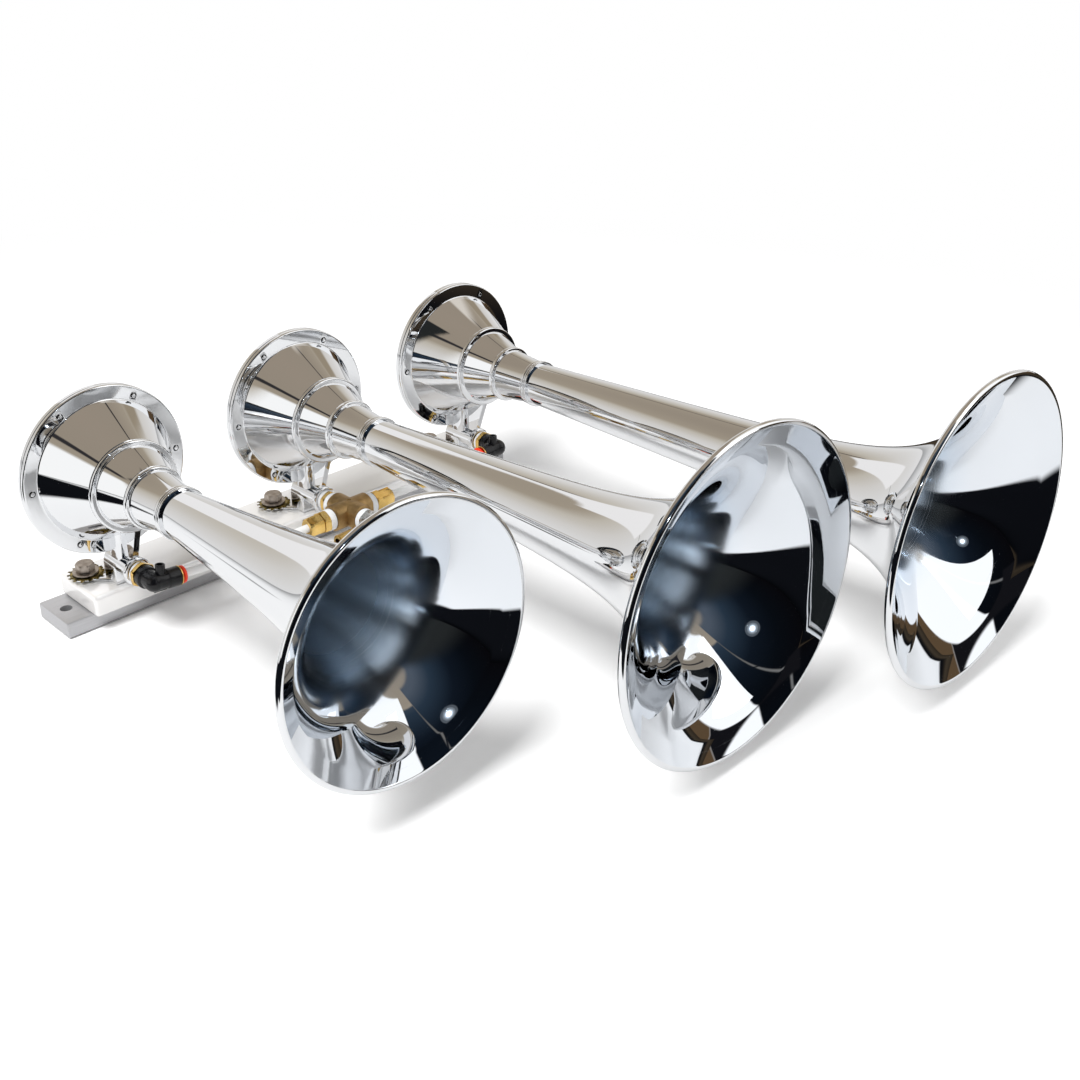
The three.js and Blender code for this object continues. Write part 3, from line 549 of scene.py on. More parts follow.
def plate(points, thickness, bevel=0.0, segments=2):
    """A flat outline in (x, y), in millimetres, extruded up from z = 0."""
    mesh = bmesh.new()
    base = mesh.faces.new([mesh.verts.new((x * MM, y * MM, 0)) for x, y in points])
    grown = bmesh.ops.extrude_face_region(mesh, geom=[base])
    top = [v for v in grown["geom"] if isinstance(v, bmesh.types.BMVert)]
    bmesh.ops.translate(mesh, vec=(0, 0, thickness * MM), verts=top)
    bmesh.ops.recalc_face_normals(mesh, faces=mesh.faces)
    if bevel:
        bmesh.ops.bevel(mesh, geom=mesh.edges[:], offset=bevel * MM, segments=segments, profile=0.5,
                        affect="EDGES")
    return mesh


def sweep(points, radius, rounds=24):
    """A round bar of one radius along a list of points, in metres."""
    mesh = bmesh.new()
    side = None
    rings = []
    for index, point in enumerate(points):
        along = (points[min(index + 1, len(points) - 1)] - points[max(index - 1, 0)]).normalized()
        side = along.orthogonal() if side is None else side - along * side.dot(along)
        side = side.normalized()
        other = along.cross(side)
        rings.append([mesh.verts.new(point + (side * math.cos(a) + other * math.sin(a)) * radius)
                      for a in (2 * math.pi * k / rounds for k in range(rounds))])
    for one, two in zip(rings, rings[1:]):
        for k in range(rounds):
            mesh.faces.new((one[k], one[(k + 1) % rounds], two[(k + 1) % rounds], two[k]))
    mesh.faces.new(rings[0])
    mesh.faces.new(rings[-1])
    bmesh.ops.recalc_face_normals(mesh, faces=mesh.faces)
    return mesh


def kept(mesh, name):
    """The mesh as Blender data, which one or several pieces can use."""
    data = bpy.data.meshes.new(name)
    mesh.to_mesh(data)
    mesh.free()
    return data


def moved(mesh, matrix):
    bmesh.ops.transform(mesh, matrix=matrix, verts=mesh.verts)
    return mesh


def merged(meshes):
    """Several meshes as one."""
    whole = bmesh.new()
    for mesh in meshes:
        data = kept(mesh, "part")
        whole.from_mesh(data)
        bpy.data.meshes.remove(data)
    return whole


def add(name, mesh, slot, place=None, body=ROOT, nodes=(), angle=35, materials=None):
    """Adds one piece of the object, riding on its body and standing for its nodes."""
    data = kept(mesh, name) if isinstance(mesh, bmesh.types.BMesh) else mesh
    data.shade_smooth()
    data.set_sharp_from_angle(angle=math.radians(angle))
    obj = bpy.data.objects.new(name, data)
    obj.matrix_world = place or Matrix()
    bpy.context.collection.objects.link(obj)
    if not data.materials:
        for material in materials or (slot,):
            data.materials.append(MATERIALS[material])
    bpy.context.view_layer.update()
    if body:
        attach(obj, body)
    if nodes:
        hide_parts(*nodes)
    return obj


def worked(mesh, change):
    """Runs modifiers on a mesh and returns the result."""
    obj = bpy.data.objects.new("work", kept(mesh, "work"))
    bpy.context.collection.objects.link(obj)
    change(obj)
    depsgraph = bpy.context.evaluated_depsgraph_get()
    out = bmesh.new()
    out.from_object(obj, depsgraph)
    bpy.data.objects.remove(obj)
    return out


def combined(mesh, tools, operation):
    """Joins closed tools to a mesh, or cuts them out of it."""
    helpers = []

    def change(obj):
        for tool in tools:
            helper = bpy.data.objects.new("tool", kept(tool, "tool"))
            bpy.context.collection.objects.link(helper)
            helpers.append(helper)
            step = obj.modifiers.new("step", "BOOLEAN")
            step.operation = operation
            step.solver = "EXACT"
            step.object = helper
    out = worked(mesh, change)
    for helper in helpers:
        bpy.data.objects.remove(helper)
    return out


def carved(mesh, tools):
    return combined(mesh, tools, "DIFFERENCE")


def joined(meshes):
    return combined(meshes[0], meshes[1:], "UNION")


def at(x, y, z):
    return Matrix.Translation(Vector((x, y, z)) * MM)


def turn(axis, degrees):
    return Matrix.Rotation(math.radians(degrees), 4, axis)


def tube(inner, outer, low, high, fillet=0.2, rounds=SMALL_ROUND):
    """A ring along Y with softened edges."""
    middle = (low + high) / 2
    return spin([(inner, middle), (inner, low, fillet), (outer, low, fillet), (outer, high, fillet),
                 (inner, high, fillet)], rounds, closed=True)


def horn_place(horn):
    """Where a horn's axis meets the front face of its flange."""
    low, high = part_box(f"{horn}_trumpet")
    flange_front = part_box(f"{horn}_back_cover")[0][1] + SCREW_END * MM
    return Matrix.Translation(((low[0] + high[0]) / 2, flange_front, (low[2] + high[2]) / 2))


PLACES = {horn: horn_place(horn) for horn in HORNS}
SCREW_TURNS = [2 * math.pi * k / SCREW_COUNT for k in range(SCREW_COUNT)]
SCREW_SPOTS = [at(SCREW_CIRCLE * math.cos(a), 0, SCREW_CIRCLE * math.sin(a)) for a in SCREW_TURNS]


def casting_body():
    shoulder = -CONE_LENGTH
    neck = shoulder - SHOULDER_WIDTH
    mid_ring = neck - NECK_LENGTH
    sleeve = mid_ring - MID_RING_WIDTH
    end_ring = sleeve - SLEEVE_LENGTH
    end = end_ring - END_RING_WIDTH
    mesh = spin([
        (THROAT_RADIUS, FLANGE_THICKNESS),
        (FLANGE_RADIUS - 0.3, FLANGE_THICKNESS, 0.3),
        (FLANGE_RADIUS, FLANGE_THICKNESS - 0.3, 0.2),
        (FLANGE_RADIUS, 0, 1.3),
        (CONE_BASE, 0, 1.2),
        (CONE_END, shoulder, 0.5),
        (SHOULDER_RADIUS, shoulder, 1.6),
        (SHOULDER_RADIUS, neck, 1.6),
        (NECK_START, neck, 0.8),
        (NECK_END, mid_ring, 0.5),
        (MID_RING_RADIUS, mid_ring, 1.8),
        (MID_RING_RADIUS, sleeve, 1.8),
        (SLEEVE_START, sleeve, 0.7),
        (SLEEVE_END, end_ring, 0.4),
        (END_RING_RADIUS, end_ring, 1.2),
        (END_RING_RADIUS, end, 1.2),
        (THROAT_RADIUS, end),
    ], ROUND, closed=True)
    width = SCREW_RADIUS + 0.2
    past = FLANGE_THICKNESS + 1
    outline = [(0, -1), (width + 0.6, -1), (width, 0.6), (width, past), (0, past)]
    return carved(mesh, [moved(spin(outline, SCREW_ROUND), spot) for spot in SCREW_SPOTS])


def casting_port():
    """The cast column, web, air port, foot and ear under the cone."""
    ring_back = -PORT_MOUTH + PORT_RING_WIDTH
    column = block((-COLUMN_WIDTH / 2, -COLUMN_DEPTH, -PORT_DROP),
                   (COLUMN_WIDTH / 2, FLANGE_THICKNESS - 0.2, -CONE_END - 4), 3.5)
    web_points = [(-COLUMN_DEPTH / 2, -PORT_DROP), (1.4 - PORT_MOUTH, -PORT_DROP),
                  (1.4 - PORT_MOUTH, PORT_RING_RADIUS - PORT_DROP), (-WEB_TOP, -CONE_END),
                  (-COLUMN_DEPTH / 2, -CONE_END)]
    web = moved(plate(web_points, WEB_THICKNESS),
                at(-WEB_THICKNESS / 2, 0, 0) @ turn("Z", 90) @ turn("X", 90))
    barrel = moved(spin([(0, ring_back - 1), (PORT_BARREL, ring_back - 1), (PORT_BARREL, PORT_BACK, 0.8),
                         (0, PORT_BACK)]), at(0, 0, -PORT_DROP))
    ring = moved(spin([(0, -PORT_MOUTH), (PORT_RING_RADIUS, -PORT_MOUTH, 1.8),
                       (PORT_RING_RADIUS, ring_back, 1.8), (0, ring_back)]), at(0, 0, -PORT_DROP))
    foot = block((-FOOT_WIDTH / 2, -FOOT_FRONT, -FOOT_DROP), (FOOT_WIDTH / 2, FOOT_BACK, -PORT_DROP), 0.8)
    strap_length = math.hypot(BOLT_OFFSET, BOLT_BACK)
    heading = math.degrees(math.atan2(BOLT_BACK, -BOLT_OFFSET))
    strap = moved(block((0, -EAR_WIDTH / 2, -FOOT_DROP),
                        (strap_length, EAR_WIDTH / 2, EAR_THICKNESS - FOOT_DROP), 0.5), turn("Z", heading))
    ear = moved(spin([(0, 0), (EAR_RADIUS, 0, 0.5), (EAR_RADIUS, EAR_THICKNESS, 0.5), (0, EAR_THICKNESS)]),
                at(-BOLT_OFFSET, BOLT_BACK, -FOOT_DROP) @ turn("X", 90))
    mesh = joined([column, web, barrel, ring, foot, strap, ear])
    bore = moved(spin([(0, -PORT_MOUTH - 2), (THREAD_RADIUS + 0.6, -PORT_MOUTH - 2),
                       (THREAD_RADIUS + 0.3, -PORT_MOUTH + 8), (0, -PORT_MOUTH + 8)]), at(0, 0, -PORT_DROP))
    return carved(mesh, [bore])


def screw_head():
    """A pan head with a cross recess, standing up along Y from y = 0."""
    dome = spin([(0, 0), (SCREW_HEAD_RADIUS, 0, 0.2), (SCREW_HEAD_RADIUS, SCREW_HEAD_HEIGHT * 0.45, 0.6),
                 (SCREW_HEAD_RADIUS * 0.55, SCREW_HEAD_HEIGHT, 1.2), (0, SCREW_HEAD_HEIGHT)], 40)
    slots = [block((-w, SCREW_HEAD_HEIGHT - 1.2, -d), (w, SCREW_HEAD_HEIGHT + 1, d), 0)
             for w, d in ((2.0, 0.42), (0.42, 2.0))]
    return carved(dome, slots)


def back_cover(rim_front, rim_back, back):
    slope = 2
    return spin([
        (0, rim_front),
        (FLANGE_RADIUS - 0.3, rim_front, 0.2),
        (FLANGE_RADIUS, rim_front + 0.3, 0.2),
        (FLANGE_RADIUS, rim_back, 1.2),
        (DOME_EDGE, rim_back, 0.8),
        (DOME_EDGE - slope, back, 1.5),
        (DOME_EDGE - 9, back, 0.5),
        (DOME_EDGE - 10, back - 0.6, 0.5),
        (14, back - 0.6, 0.5),
        (13, back, 0.5),
        (0, back),
    ], ROUND)


def trumpet_outline(horn, length, mouth):
    """Outer and inner walls of a trumpet, and its rolled lip, from the collar to the mouth."""
    collar_back = -sum((CONE_LENGTH, SHOULDER_WIDTH, NECK_LENGTH, MID_RING_WIDTH, SLEEVE_LENGTH,
                        END_RING_WIDTH, SEAT))
    collar_front = collar_back - COLLAR_WIDTH
    start = -collar_front
    lip = mouth - LIP_BEAD

    def wall(reach):
        along = (reach - start) / (length - start)
        taper = TUBE_START + (TAPER[horn] - TUBE_START) * along
        return taper + (lip - TAPER[horn]) * math.exp((reach - length) / (FLARE_SHARE * mouth))

    stations = 70
    crowding = 1.6
    lip_blend = 3
    bead_centre = length - LIP_BEAD
    shares = [(1 - k / stations) ** crowding for k in range(stations + 1)]
    reaches = [bead_centre - (bead_centre - start) * share for share in shares]
    reaches = [reach for reach in reaches if reach < bead_centre - lip_blend]
    outer = [(wall(reach), -reach) for reach in reaches]
    inner = [(wall(reach) - TRUMPET_WALL, -reach) for reach in reaches[1:]]
    bead_points = 20
    bead_from, bead_arc = -40, 265
    bead_turns = [math.radians(bead_from + bead_arc * k / (bead_points - 1)) for k in range(bead_points)]
    bead = [(lip + LIP_BEAD * math.sin(a), LIP_BEAD * math.cos(a) - bead_centre) for a in bead_turns]
    bore = THROAT_RADIUS - 0.6
    spigot_radius = 14
    spigot_end = collar_back + 6
    spigot = [(bore, spigot_end), (spigot_radius, spigot_end), (spigot_radius, collar_back),
              (COLLAR_RADIUS, collar_back, 0.9), (COLLAR_RADIUS, (collar_back + collar_front) / 2 + 0.2, 0.7),
              (COLLAR_RADIUS - 0.7, collar_front + 1.8, 0.3), (COLLAR_RADIUS, collar_front + 1.5, 0.7),
              (COLLAR_RADIUS, collar_front, 0.9)]
    return spigot + outer, bead, inner[::-1] + [(bore, collar_front)]


def add_trumpet(horn):
    low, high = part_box(f"{horn}_trumpet")
    flange = PLACES[horn].translation[1]
    length = (flange - low[1]) / MM
    mouth = (high[0] - low[0]) / 2 / MM
    outside, bead, inside = trumpet_outline(horn, length, mouth)
    outside = [tuple(p) for p in soften(outside)]
    mesh = spin(outside + bead + inside, ROUND, closed=True)
    mesh.faces.ensure_lookup_table()
    inner_from = (len(outside) + len(bead) - 2) * ROUND
    for face in mesh.faces:
        if face.index >= inner_from:
            face.material_index = 1
    add(f"{horn}_bell", mesh, "chrome", PLACES[horn], nodes=[f"{horn}_trumpet"],
        materials=("chrome", "spun_chrome"))


def star_washer():
    """A lock washer with twisted teeth round its rim."""
    ring = STAR_RING + 0.8
    parts = [moved(tube(BOLT_HOLE, ring, 0.15, STAR_THICKNESS - 0.15), turn("X", 90))]
    half = math.pi * STAR_RADIUS / STAR_TEETH / 2
    thin = STAR_THICKNESS / 2 - 0.3
    twist = 16
    for k in range(STAR_TEETH):
        tooth = block((STAR_RING, -half, -thin), (STAR_RADIUS, half, thin), 0.12, 1)
        moved(tooth, turn("Z", 360 * k / STAR_TEETH) @ at(0, 0, STAR_THICKNESS / 2) @ turn("X", twist))
        parts.append(tooth)
    return merged(parts)


def bolt():
    corner = BOLT_ACROSS / math.sqrt(3)
    head = hexagon(BOLT_ACROSS, [(corner - 0.3, 0), (corner, 0.3), (corner, BOLT_HEAD - 0.7),
                                 (BOLT_ACROSS / 2 + 0.1, BOLT_HEAD)])
    return moved(head, turn("X", 90))


def add_horn(horn, shared):
    place = PLACES[horn]
    add(f"{horn}_casting", shared["casting"], "chrome", place, nodes=[f"{horn}_chamber"])
    add(f"{horn}_port", shared["port"], "chrome", place)
    add(f"{horn}_cover", shared["cover"], "chrome", place, nodes=[f"{horn}_back_cover"])
    add(f"{horn}_screws", shared["screws"], "chrome", place)
    add_trumpet(horn)
    low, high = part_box(f"{horn}_star_washer")
    foot = Matrix.Translation(((low[0] + high[0]) / 2, (low[1] + high[1]) / 2, low[2]))
    add(f"{horn}_lock_washer", shared["star"], "zinc_yellow", foot, nodes=[f"{horn}_star_washer"])
    base = STAR_THICKNESS + SEAT
    add(f"{horn}_plain_washer", shared["washer"], "bolt_steel", foot @ at(0, 0, base),
        nodes=[f"{horn}_flat_washer"])
    add(f"{horn}_bolt", shared["bolt"], "bolt_steel", foot @ at(0, 0, base + WASHER_THICKNESS + SEAT),
        nodes=[f"{horn}_foot_bolt"])


def shared_parts():
    rim_front = FLANGE_THICKNESS + SEAT
    rim_back = rim_front + RIM_THICKNESS
    core = SCREW_RADIUS - 0.4
    outline = [(0, -SCREW_END), (core, -SCREW_END, 0.5), (core, 2), (0, 2)]
    ends = [moved(spin(outline, SCREW_ROUND), spot) for spot in SCREW_SPOTS]
    slot_step = 17
    heads = [moved(screw_head(), spot @ at(0, rim_back, 0) @ turn("Y", slot_step * k))
             for k, spot in enumerate(SCREW_SPOTS)]
    washer = moved(tube(BOLT_HOLE, WASHER_RADIUS, 0, WASHER_THICKNESS), turn("X", 90))
    return {
        "casting": kept(casting_body(), "casting"),
        "port": kept(casting_port(), "port"),
        "cover": kept(back_cover(rim_front, rim_back, DOME_BACK), "cover"),
        "screws": kept(merged(ends + heads), "screws"),
        "star": kept(star_washer(), "star"),
        "washer": kept(washer, "washer"),
        "bolt": kept(bolt(), "bolt"),
    }


def hex_piece(across, low, high, bore=0.0):
    """A hexagon with lightly chamfered corners."""
    corner = across / math.sqrt(3)
    chamfer = 0.5
    return hexagon(across, [(corner - 0.8, low), (corner, low + chamfer), (corner, high - chamfer),
                            (corner - 0.8, high)], bore)


def tape(low, high):
    """White tape round a thread."""
    return tube(THREAD_RADIUS - 0.2, TAPE_RADIUS, low, high, 0.7)


def port_place(horn):
    return PLACES[horn] @ at(0, 0, -PORT_DROP)


def round_end(radius):
    """A ball, for the corner of an elbow."""
    steps = 32
    return spin([(radius * math.sin(math.pi * k / steps) if 0 < k < steps else 0,
                  -radius * math.cos(math.pi * k / steps)) for k in range(steps + 1)])


def add_elbow(number, horn, toward, body, collet_body):
    name = f"elbow_{number}"
    place = port_place(horn)
    mouth = -PORT_MOUTH
    tape_front = mouth - SEAT - STEM_TAPE
    hex_back = tape_front - SEAT
    hex_front = hex_back - STEM_HEX
    corner_y = mouth - ELBOW_REACH
    add(f"{name}_tape", tape(tape_front, mouth - SEAT - 0.9), "white_tape", place,
        nodes=[f"{name}_thread_tape"])
    thread = tube(AIRWAY, THREAD_RADIUS - 0.2, hex_back - 1, mouth + 6)
    runout = tube(AIRWAY, TAPE_RADIUS - 0.5, mouth - SEAT - 0.8, mouth - SEAT, 0.3)
    stem = merged([hex_piece(STEM_ACROSS, hex_front, hex_back, 3), thread, runout])
    add(f"{name}_hex", stem, "brass", place, nodes=[f"{name}_stem"])
    leg_y = hex_front - SEAT
    swivel = place @ turn("Y", toward * ELBOW_DROOP[horn])

    def lie(mesh):
        return moved(mesh, at(0, corner_y, 0) @ turn("Z", -90))

    collar_end = leg_y - LEG_COLLAR_WIDTH
    leg = spin([(0, leg_y), (LEG_COLLAR, leg_y, 0.5), (LEG_COLLAR, collar_end, 0.9),
                (LEG_RADIUS, collar_end - 0.6, 0.5), (LEG_RADIUS, corner_y), (0, corner_y)])
    ball = moved(round_end(LEG_RADIUS), at(0, corner_y, 0))
    root = lie(spin([(0, -0.5), (BARREL_ROOT, -0.5), (BARREL_ROOT, BARREL_ROOT_LENGTH + 1),
                     (0, BARREL_ROOT_LENGTH + 1)]))
    barrel = lie(spin([(0, BARREL_ROOT_LENGTH), (BARREL_RADIUS, BARREL_ROOT_LENGTH, 0.8),
                       (BARREL_RADIUS, BARREL_LENGTH, 0.5), (0, BARREL_LENGTH)]))
    boss = moved(spin([(0, 0), (BOSS_RADIUS, 0), (BOSS_RADIUS, BARREL_ROOT + BOSS_HEIGHT, 0.5),
                       (0, BARREL_ROOT + BOSS_HEIGHT)], 48), at(BOSS_REACH, corner_y, 0) @ turn("X", 90))
    rib = block((-0.8, corner_y - 0.8, -LEG_RADIUS - 1), (BARREL_ROOT_LENGTH + 0.5, corner_y + 0.8, -3), 0.3)
    leg_rib = block((-0.8, corner_y - 0.8, -LEG_RADIUS - 1), (0.8, collar_end + 1, -3), 0.3)
    skin = joined([leg, ball, root, barrel, boss, rib, leg_rib])
    tools = [
        lie(spin([(0, 7), (BARREL_BORE, 7), (BARREL_BORE, BARREL_LENGTH + 2), (0, BARREL_LENGTH + 2)])),
        moved(spin([(0, BARREL_ROOT), (BOSS_HOLE, BARREL_ROOT), (BOSS_HOLE, 20), (0, 20)], HOLE_ROUND),
              at(BOSS_REACH, corner_y, 0) @ turn("X", 90)),
    ]

    def mirrored(mesh):
        """Turns a piece of the left elbow into one of the right elbow."""
        moved(mesh, Matrix.Diagonal((toward, 1, 1, 1)))
        if toward < 0:
            bmesh.ops.reverse_faces(mesh, faces=mesh.faces)
        return mesh

    add(f"{name}_shell", mirrored(carved(skin, tools)), "black_plastic", swivel, body, [f"{name}_body"])
    ring_from = BARREL_LENGTH + SEAT
    ring_to = ring_from + END_RING_THICKNESS
    add(f"{name}_ring", mirrored(lie(tube(BARREL_BORE, BARREL_RADIUS, ring_from, ring_to, 0.15))),
        "brass", swivel, body, [f"{name}_end_ring"])
    flange = ring_to + COLLET_TRAVEL + SEAT
    front = flange + COLLET_FLANGE_WIDTH
    back = flange - 7
    bore, sleeve = TUBE_RADIUS + 0.25, 4.7
    collet = spin([(bore, back), (sleeve, back, 0.3), (sleeve, flange, 0.2), (COLLET_FLANGE, flange, 0.3),
                   (COLLET_FLANGE, front, 0.9), (bore, front, 0.6)], closed=True)
    add(f"{name}_release", mirrored(lie(collet)), "orange_plastic", swivel, collet_body, [f"{name}_collet"])
    return swivel, front


def bezier_path(points, steps=12):
    """A smooth line through points, with Catmull-Rom tangents."""
    out = []
    for index in range(len(points) - 1):
        p0 = points[max(index - 1, 0)]
        p1, p2 = points[index], points[index + 1]
        p3 = points[min(index + 2, len(points) - 1)]
        scale1 = (p2 - p1).length / max((p2 - p0).length, 1e-9)
        scale2 = (p2 - p1).length / max((p3 - p1).length, 1e-9)
        m1, m2 = (p2 - p0) * scale1, (p3 - p1) * scale2
        for step in range(steps):
            t = step / steps
            out.append(p1 * (2 * t ** 3 - 3 * t ** 2 + 1) + m1 * (t ** 3 - 2 * t ** 2 + t)
                       + p2 * (3 * t ** 2 - 2 * t ** 3) + m2 * (t ** 3 - t ** 2))
    out.append(points[-1])
    return out


def add_tube(number, toward, swivel, front):
    corner = -PORT_MOUTH - ELBOW_REACH

    def from_elbow(reach):
        return swivel @ (Vector((toward * reach, corner, 0)) * MM)

    cross = port_place("horn_2")
    connector = CROSS_ARM + CROSS_TAPE + 2 * SEAT + HEX_WIDTH
    nut_end = connector + SEAT + NUT_LENGTH

    def from_cross(reach):
        return cross @ (Vector((-toward * reach, -PORT_MOUTH - CROSS_REACH, 0)) * MM)

    near, far = from_elbow(front + TUBE_LEAD), from_cross(nut_end + TUBE_LEAD)
    middle = (near + far) / 2 - Vector((0, 0, TUBE_SAG)) * MM
    points = [from_elbow(BARREL_ROOT_LENGTH), from_elbow(front), near, middle, far, from_cross(nut_end),
              from_cross(connector)]
    obj = add(f"tube_{number}", sweep(bezier_path(points), TUBE_RADIUS * MM), "clear_nylon", body=None,
              nodes=[f"air_tube_{number}"])
    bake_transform(obj)


def cross_fittings():
    centre = port_place("horn_2") @ at(0, -PORT_MOUTH - CROSS_REACH, 0)
    edge = 0.7
    outline = [(CROSS_ARM_RADIUS - edge, -CROSS_ARM), (CROSS_ARM_RADIUS, edge - CROSS_ARM),
               (CROSS_ARM_RADIUS, CROSS_ARM - edge), (CROSS_ARM_RADIUS - edge, CROSS_ARM)]
    arms = [flat_sided(CROSS_ARM_WIDTH, outline) for _ in range(2)]
    moved(arms[1], turn("Z", 90))
    bores = [moved(spin([(0, -40), (THREAD_RADIUS + 0.3, -40), (THREAD_RADIUS + 0.3, -8), (0, -8)]),
                   turn("Z", 90 * index)) for index in range(4)]
    top = CROSS_ARM_RADIUS
    dimple = moved(spin([(0, top - 0.9), (1.5, top - 0.9, 0.4), (2.6, top + 1), (0, top + 1)], HOLE_ROUND),
                   turn("X", 90))
    add("cross", carved(joined(arms), bores + [dimple]), "cast_brass", centre, nodes=["cross_body"])

    hex_from = CROSS_ARM + CROSS_TAPE + 2 * SEAT
    hex_to = hex_from + HEX_WIDTH
    nut_from = hex_to + SEAT
    nut_to = nut_from + NUT_LENGTH
    nut_corner = NUT_ACROSS / math.sqrt(3)
    for side, angle in (("left", 90), ("right", -90)):
        place = centre @ turn("Z", angle)
        add(f"{side}_tape", tape(CROSS_ARM + SEAT, CROSS_ARM + SEAT + CROSS_TAPE), "white_tape", place,
            nodes=[f"cross_{side}_tape"])
        thread = tube(TUBE_RADIUS + 0.3, 5.4, hex_from, hex_to + 4)
        add(f"{side}_connector", merged([hex_piece(HEX_ACROSS, hex_from, hex_to, TUBE_RADIUS + 0.3), thread]),
            "brass", place, nodes=[f"cross_{side}_connector"])
        nut = hexagon(NUT_ACROSS, [(nut_corner - 0.6, nut_from), (nut_corner, nut_from + 0.6),
                                   (nut_corner, nut_from + NUT_HEX), (NUT_END, nut_to - 0.3),
                                   (NUT_END - 0.3, nut_to)], TUBE_RADIUS + 0.3)
        add(f"{side}_nut", nut, "brass", place, nodes=[f"cross_{side}_nut"])

    nipple = port_place("horn_2")
    arm_end = -PORT_MOUTH - CROSS_REACH + CROSS_ARM
    tape_from = arm_end + SEAT
    add("nipple_tape", tape(tape_from, tape_from + CROSS_TAPE), "white_tape", nipple,
        nodes=["cross_nipple_tape"])
    hex_front = arm_end + CROSS_TAPE + 2 * SEAT
    hex_back = -PORT_MOUTH - 2 * SEAT - STEM_TAPE
    add("port_tape", tape(hex_back + SEAT, -PORT_MOUTH - SEAT), "white_tape", nipple,
        nodes=["cross_nipple_port_tape"])
    thread = tube(AIRWAY, THREAD_RADIUS - 0.3, hex_front - 6, -PORT_MOUTH + 5)
    add("nipple", merged([hex_piece(HEX_ACROSS, hex_front, hex_back, 3), thread]), "brass", nipple,
        nodes=["cross_nipple"])

    tape_low = -CROSS_ARM - SEAT - CROSS_TAPE
    add("inlet_tape", tape(tape_low, -CROSS_ARM - SEAT), "white_tape", centre, nodes=["supply_tape"])
    hex_low = tape_low - SEAT - SUPPLY_HEX
    hexagonal = hex_piece(SUPPLY_ACROSS, hex_low, tape_low - SEAT)
    leg = spin([(0, -SUPPLY_REACH), (SUPPLY_LEG, -SUPPLY_REACH), (SUPPLY_LEG, hex_low + 1), (0, hex_low + 1)])
    ball = moved(round_end(SUPPLY_LEG + 0.4), at(0, -SUPPLY_REACH, 0))
    outlet = moved(spin([(0, 0), (SUPPLY_LEG, 0), (SUPPLY_LEG, SUPPLY_OUTLET, 0.6), (0, SUPPLY_OUTLET)]),
                   at(0, -SUPPLY_REACH, 0) @ turn("Z", 90))
    add("inlet_elbow", joined([hexagonal, leg, ball, outlet]), "nickel", centre, nodes=["supply_elbow"])
    nut_corner = SUPPLY_NUT_ACROSS / math.sqrt(3)
    half = SUPPLY_NUT_ACROSS / 2
    start = SUPPLY_OUTLET + SEAT
    hex_end, end = start + SUPPLY_NUT_HEX, start + SUPPLY_NUT_LENGTH
    nut = hexagon(SUPPLY_NUT_ACROSS, [(half - 0.2, start), (nut_corner, start + 0.6), (nut_corner, hex_end),
                                      (half, hex_end + 0.5), (SUPPLY_NUT_END + 0.2, end - 0.6),
                                      (SUPPLY_NUT_END - 0.3, end)], TUBE_RADIUS + 0.3)
    add("inlet_nut", nut, "brass", centre @ at(0, -SUPPLY_REACH, 0) @ turn("Z", 90), nodes=["supply_nut"])


def add_bars():
    low, high = ([value / MM for value in corner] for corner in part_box("riser_bar"))
    add("riser", block(low, high, RISER_CORNER, 6), "riser_white", nodes=["riser_bar"])
    low, high = ([value / MM for value in corner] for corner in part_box("mounting_bar"))
    under, over = -5, high[2] + 5
    outline = [(0, under), (BAR_HOLE_RADIUS, under), (BAR_HOLE_RADIUS, over), (0, over)]
    holes = [moved(spin(outline, 48), at(side * (high[0] - BAR_HOLE_INSET), 0, 0) @ turn("X", 90))
             for side in (-1, 1)]
    add("bar", carved(block(low, high, 1.0, 4), holes), "bar_grey", nodes=["mounting_bar"])


def finish_inner_nodes():
    """The pieces inside keep their CAD shape and get a finish."""
    for part in frame["record"]["subparts"]:
        node = frame["nodes"][part["node"]]
        if not node.hide_render:
            for holder in node.material_slots:
                holder.material = MATERIALS[part["material_slot"]]


def area(name, position, target, size, power):
    data = bpy.data.lights.new(name, "AREA")
    data.shape = "RECTANGLE"
    data.size, data.size_y = size
    data.energy = power
    obj = bpy.data.objects.new(name, data)
    obj.location = position
    obj.rotation_euler = (Vector(target) - Vector(position)).to_track_quat("-Z", "Y").to_euler()
    bpy.context.collection.objects.link(obj)
    return obj


def blank(tree):
    """An emptied node tree, and the outputs that tell what kind of ray looks at it."""
    tree.nodes.clear()
    graph = Graph(tree)
    return graph, graph.node("ShaderNodeLightPath").outputs


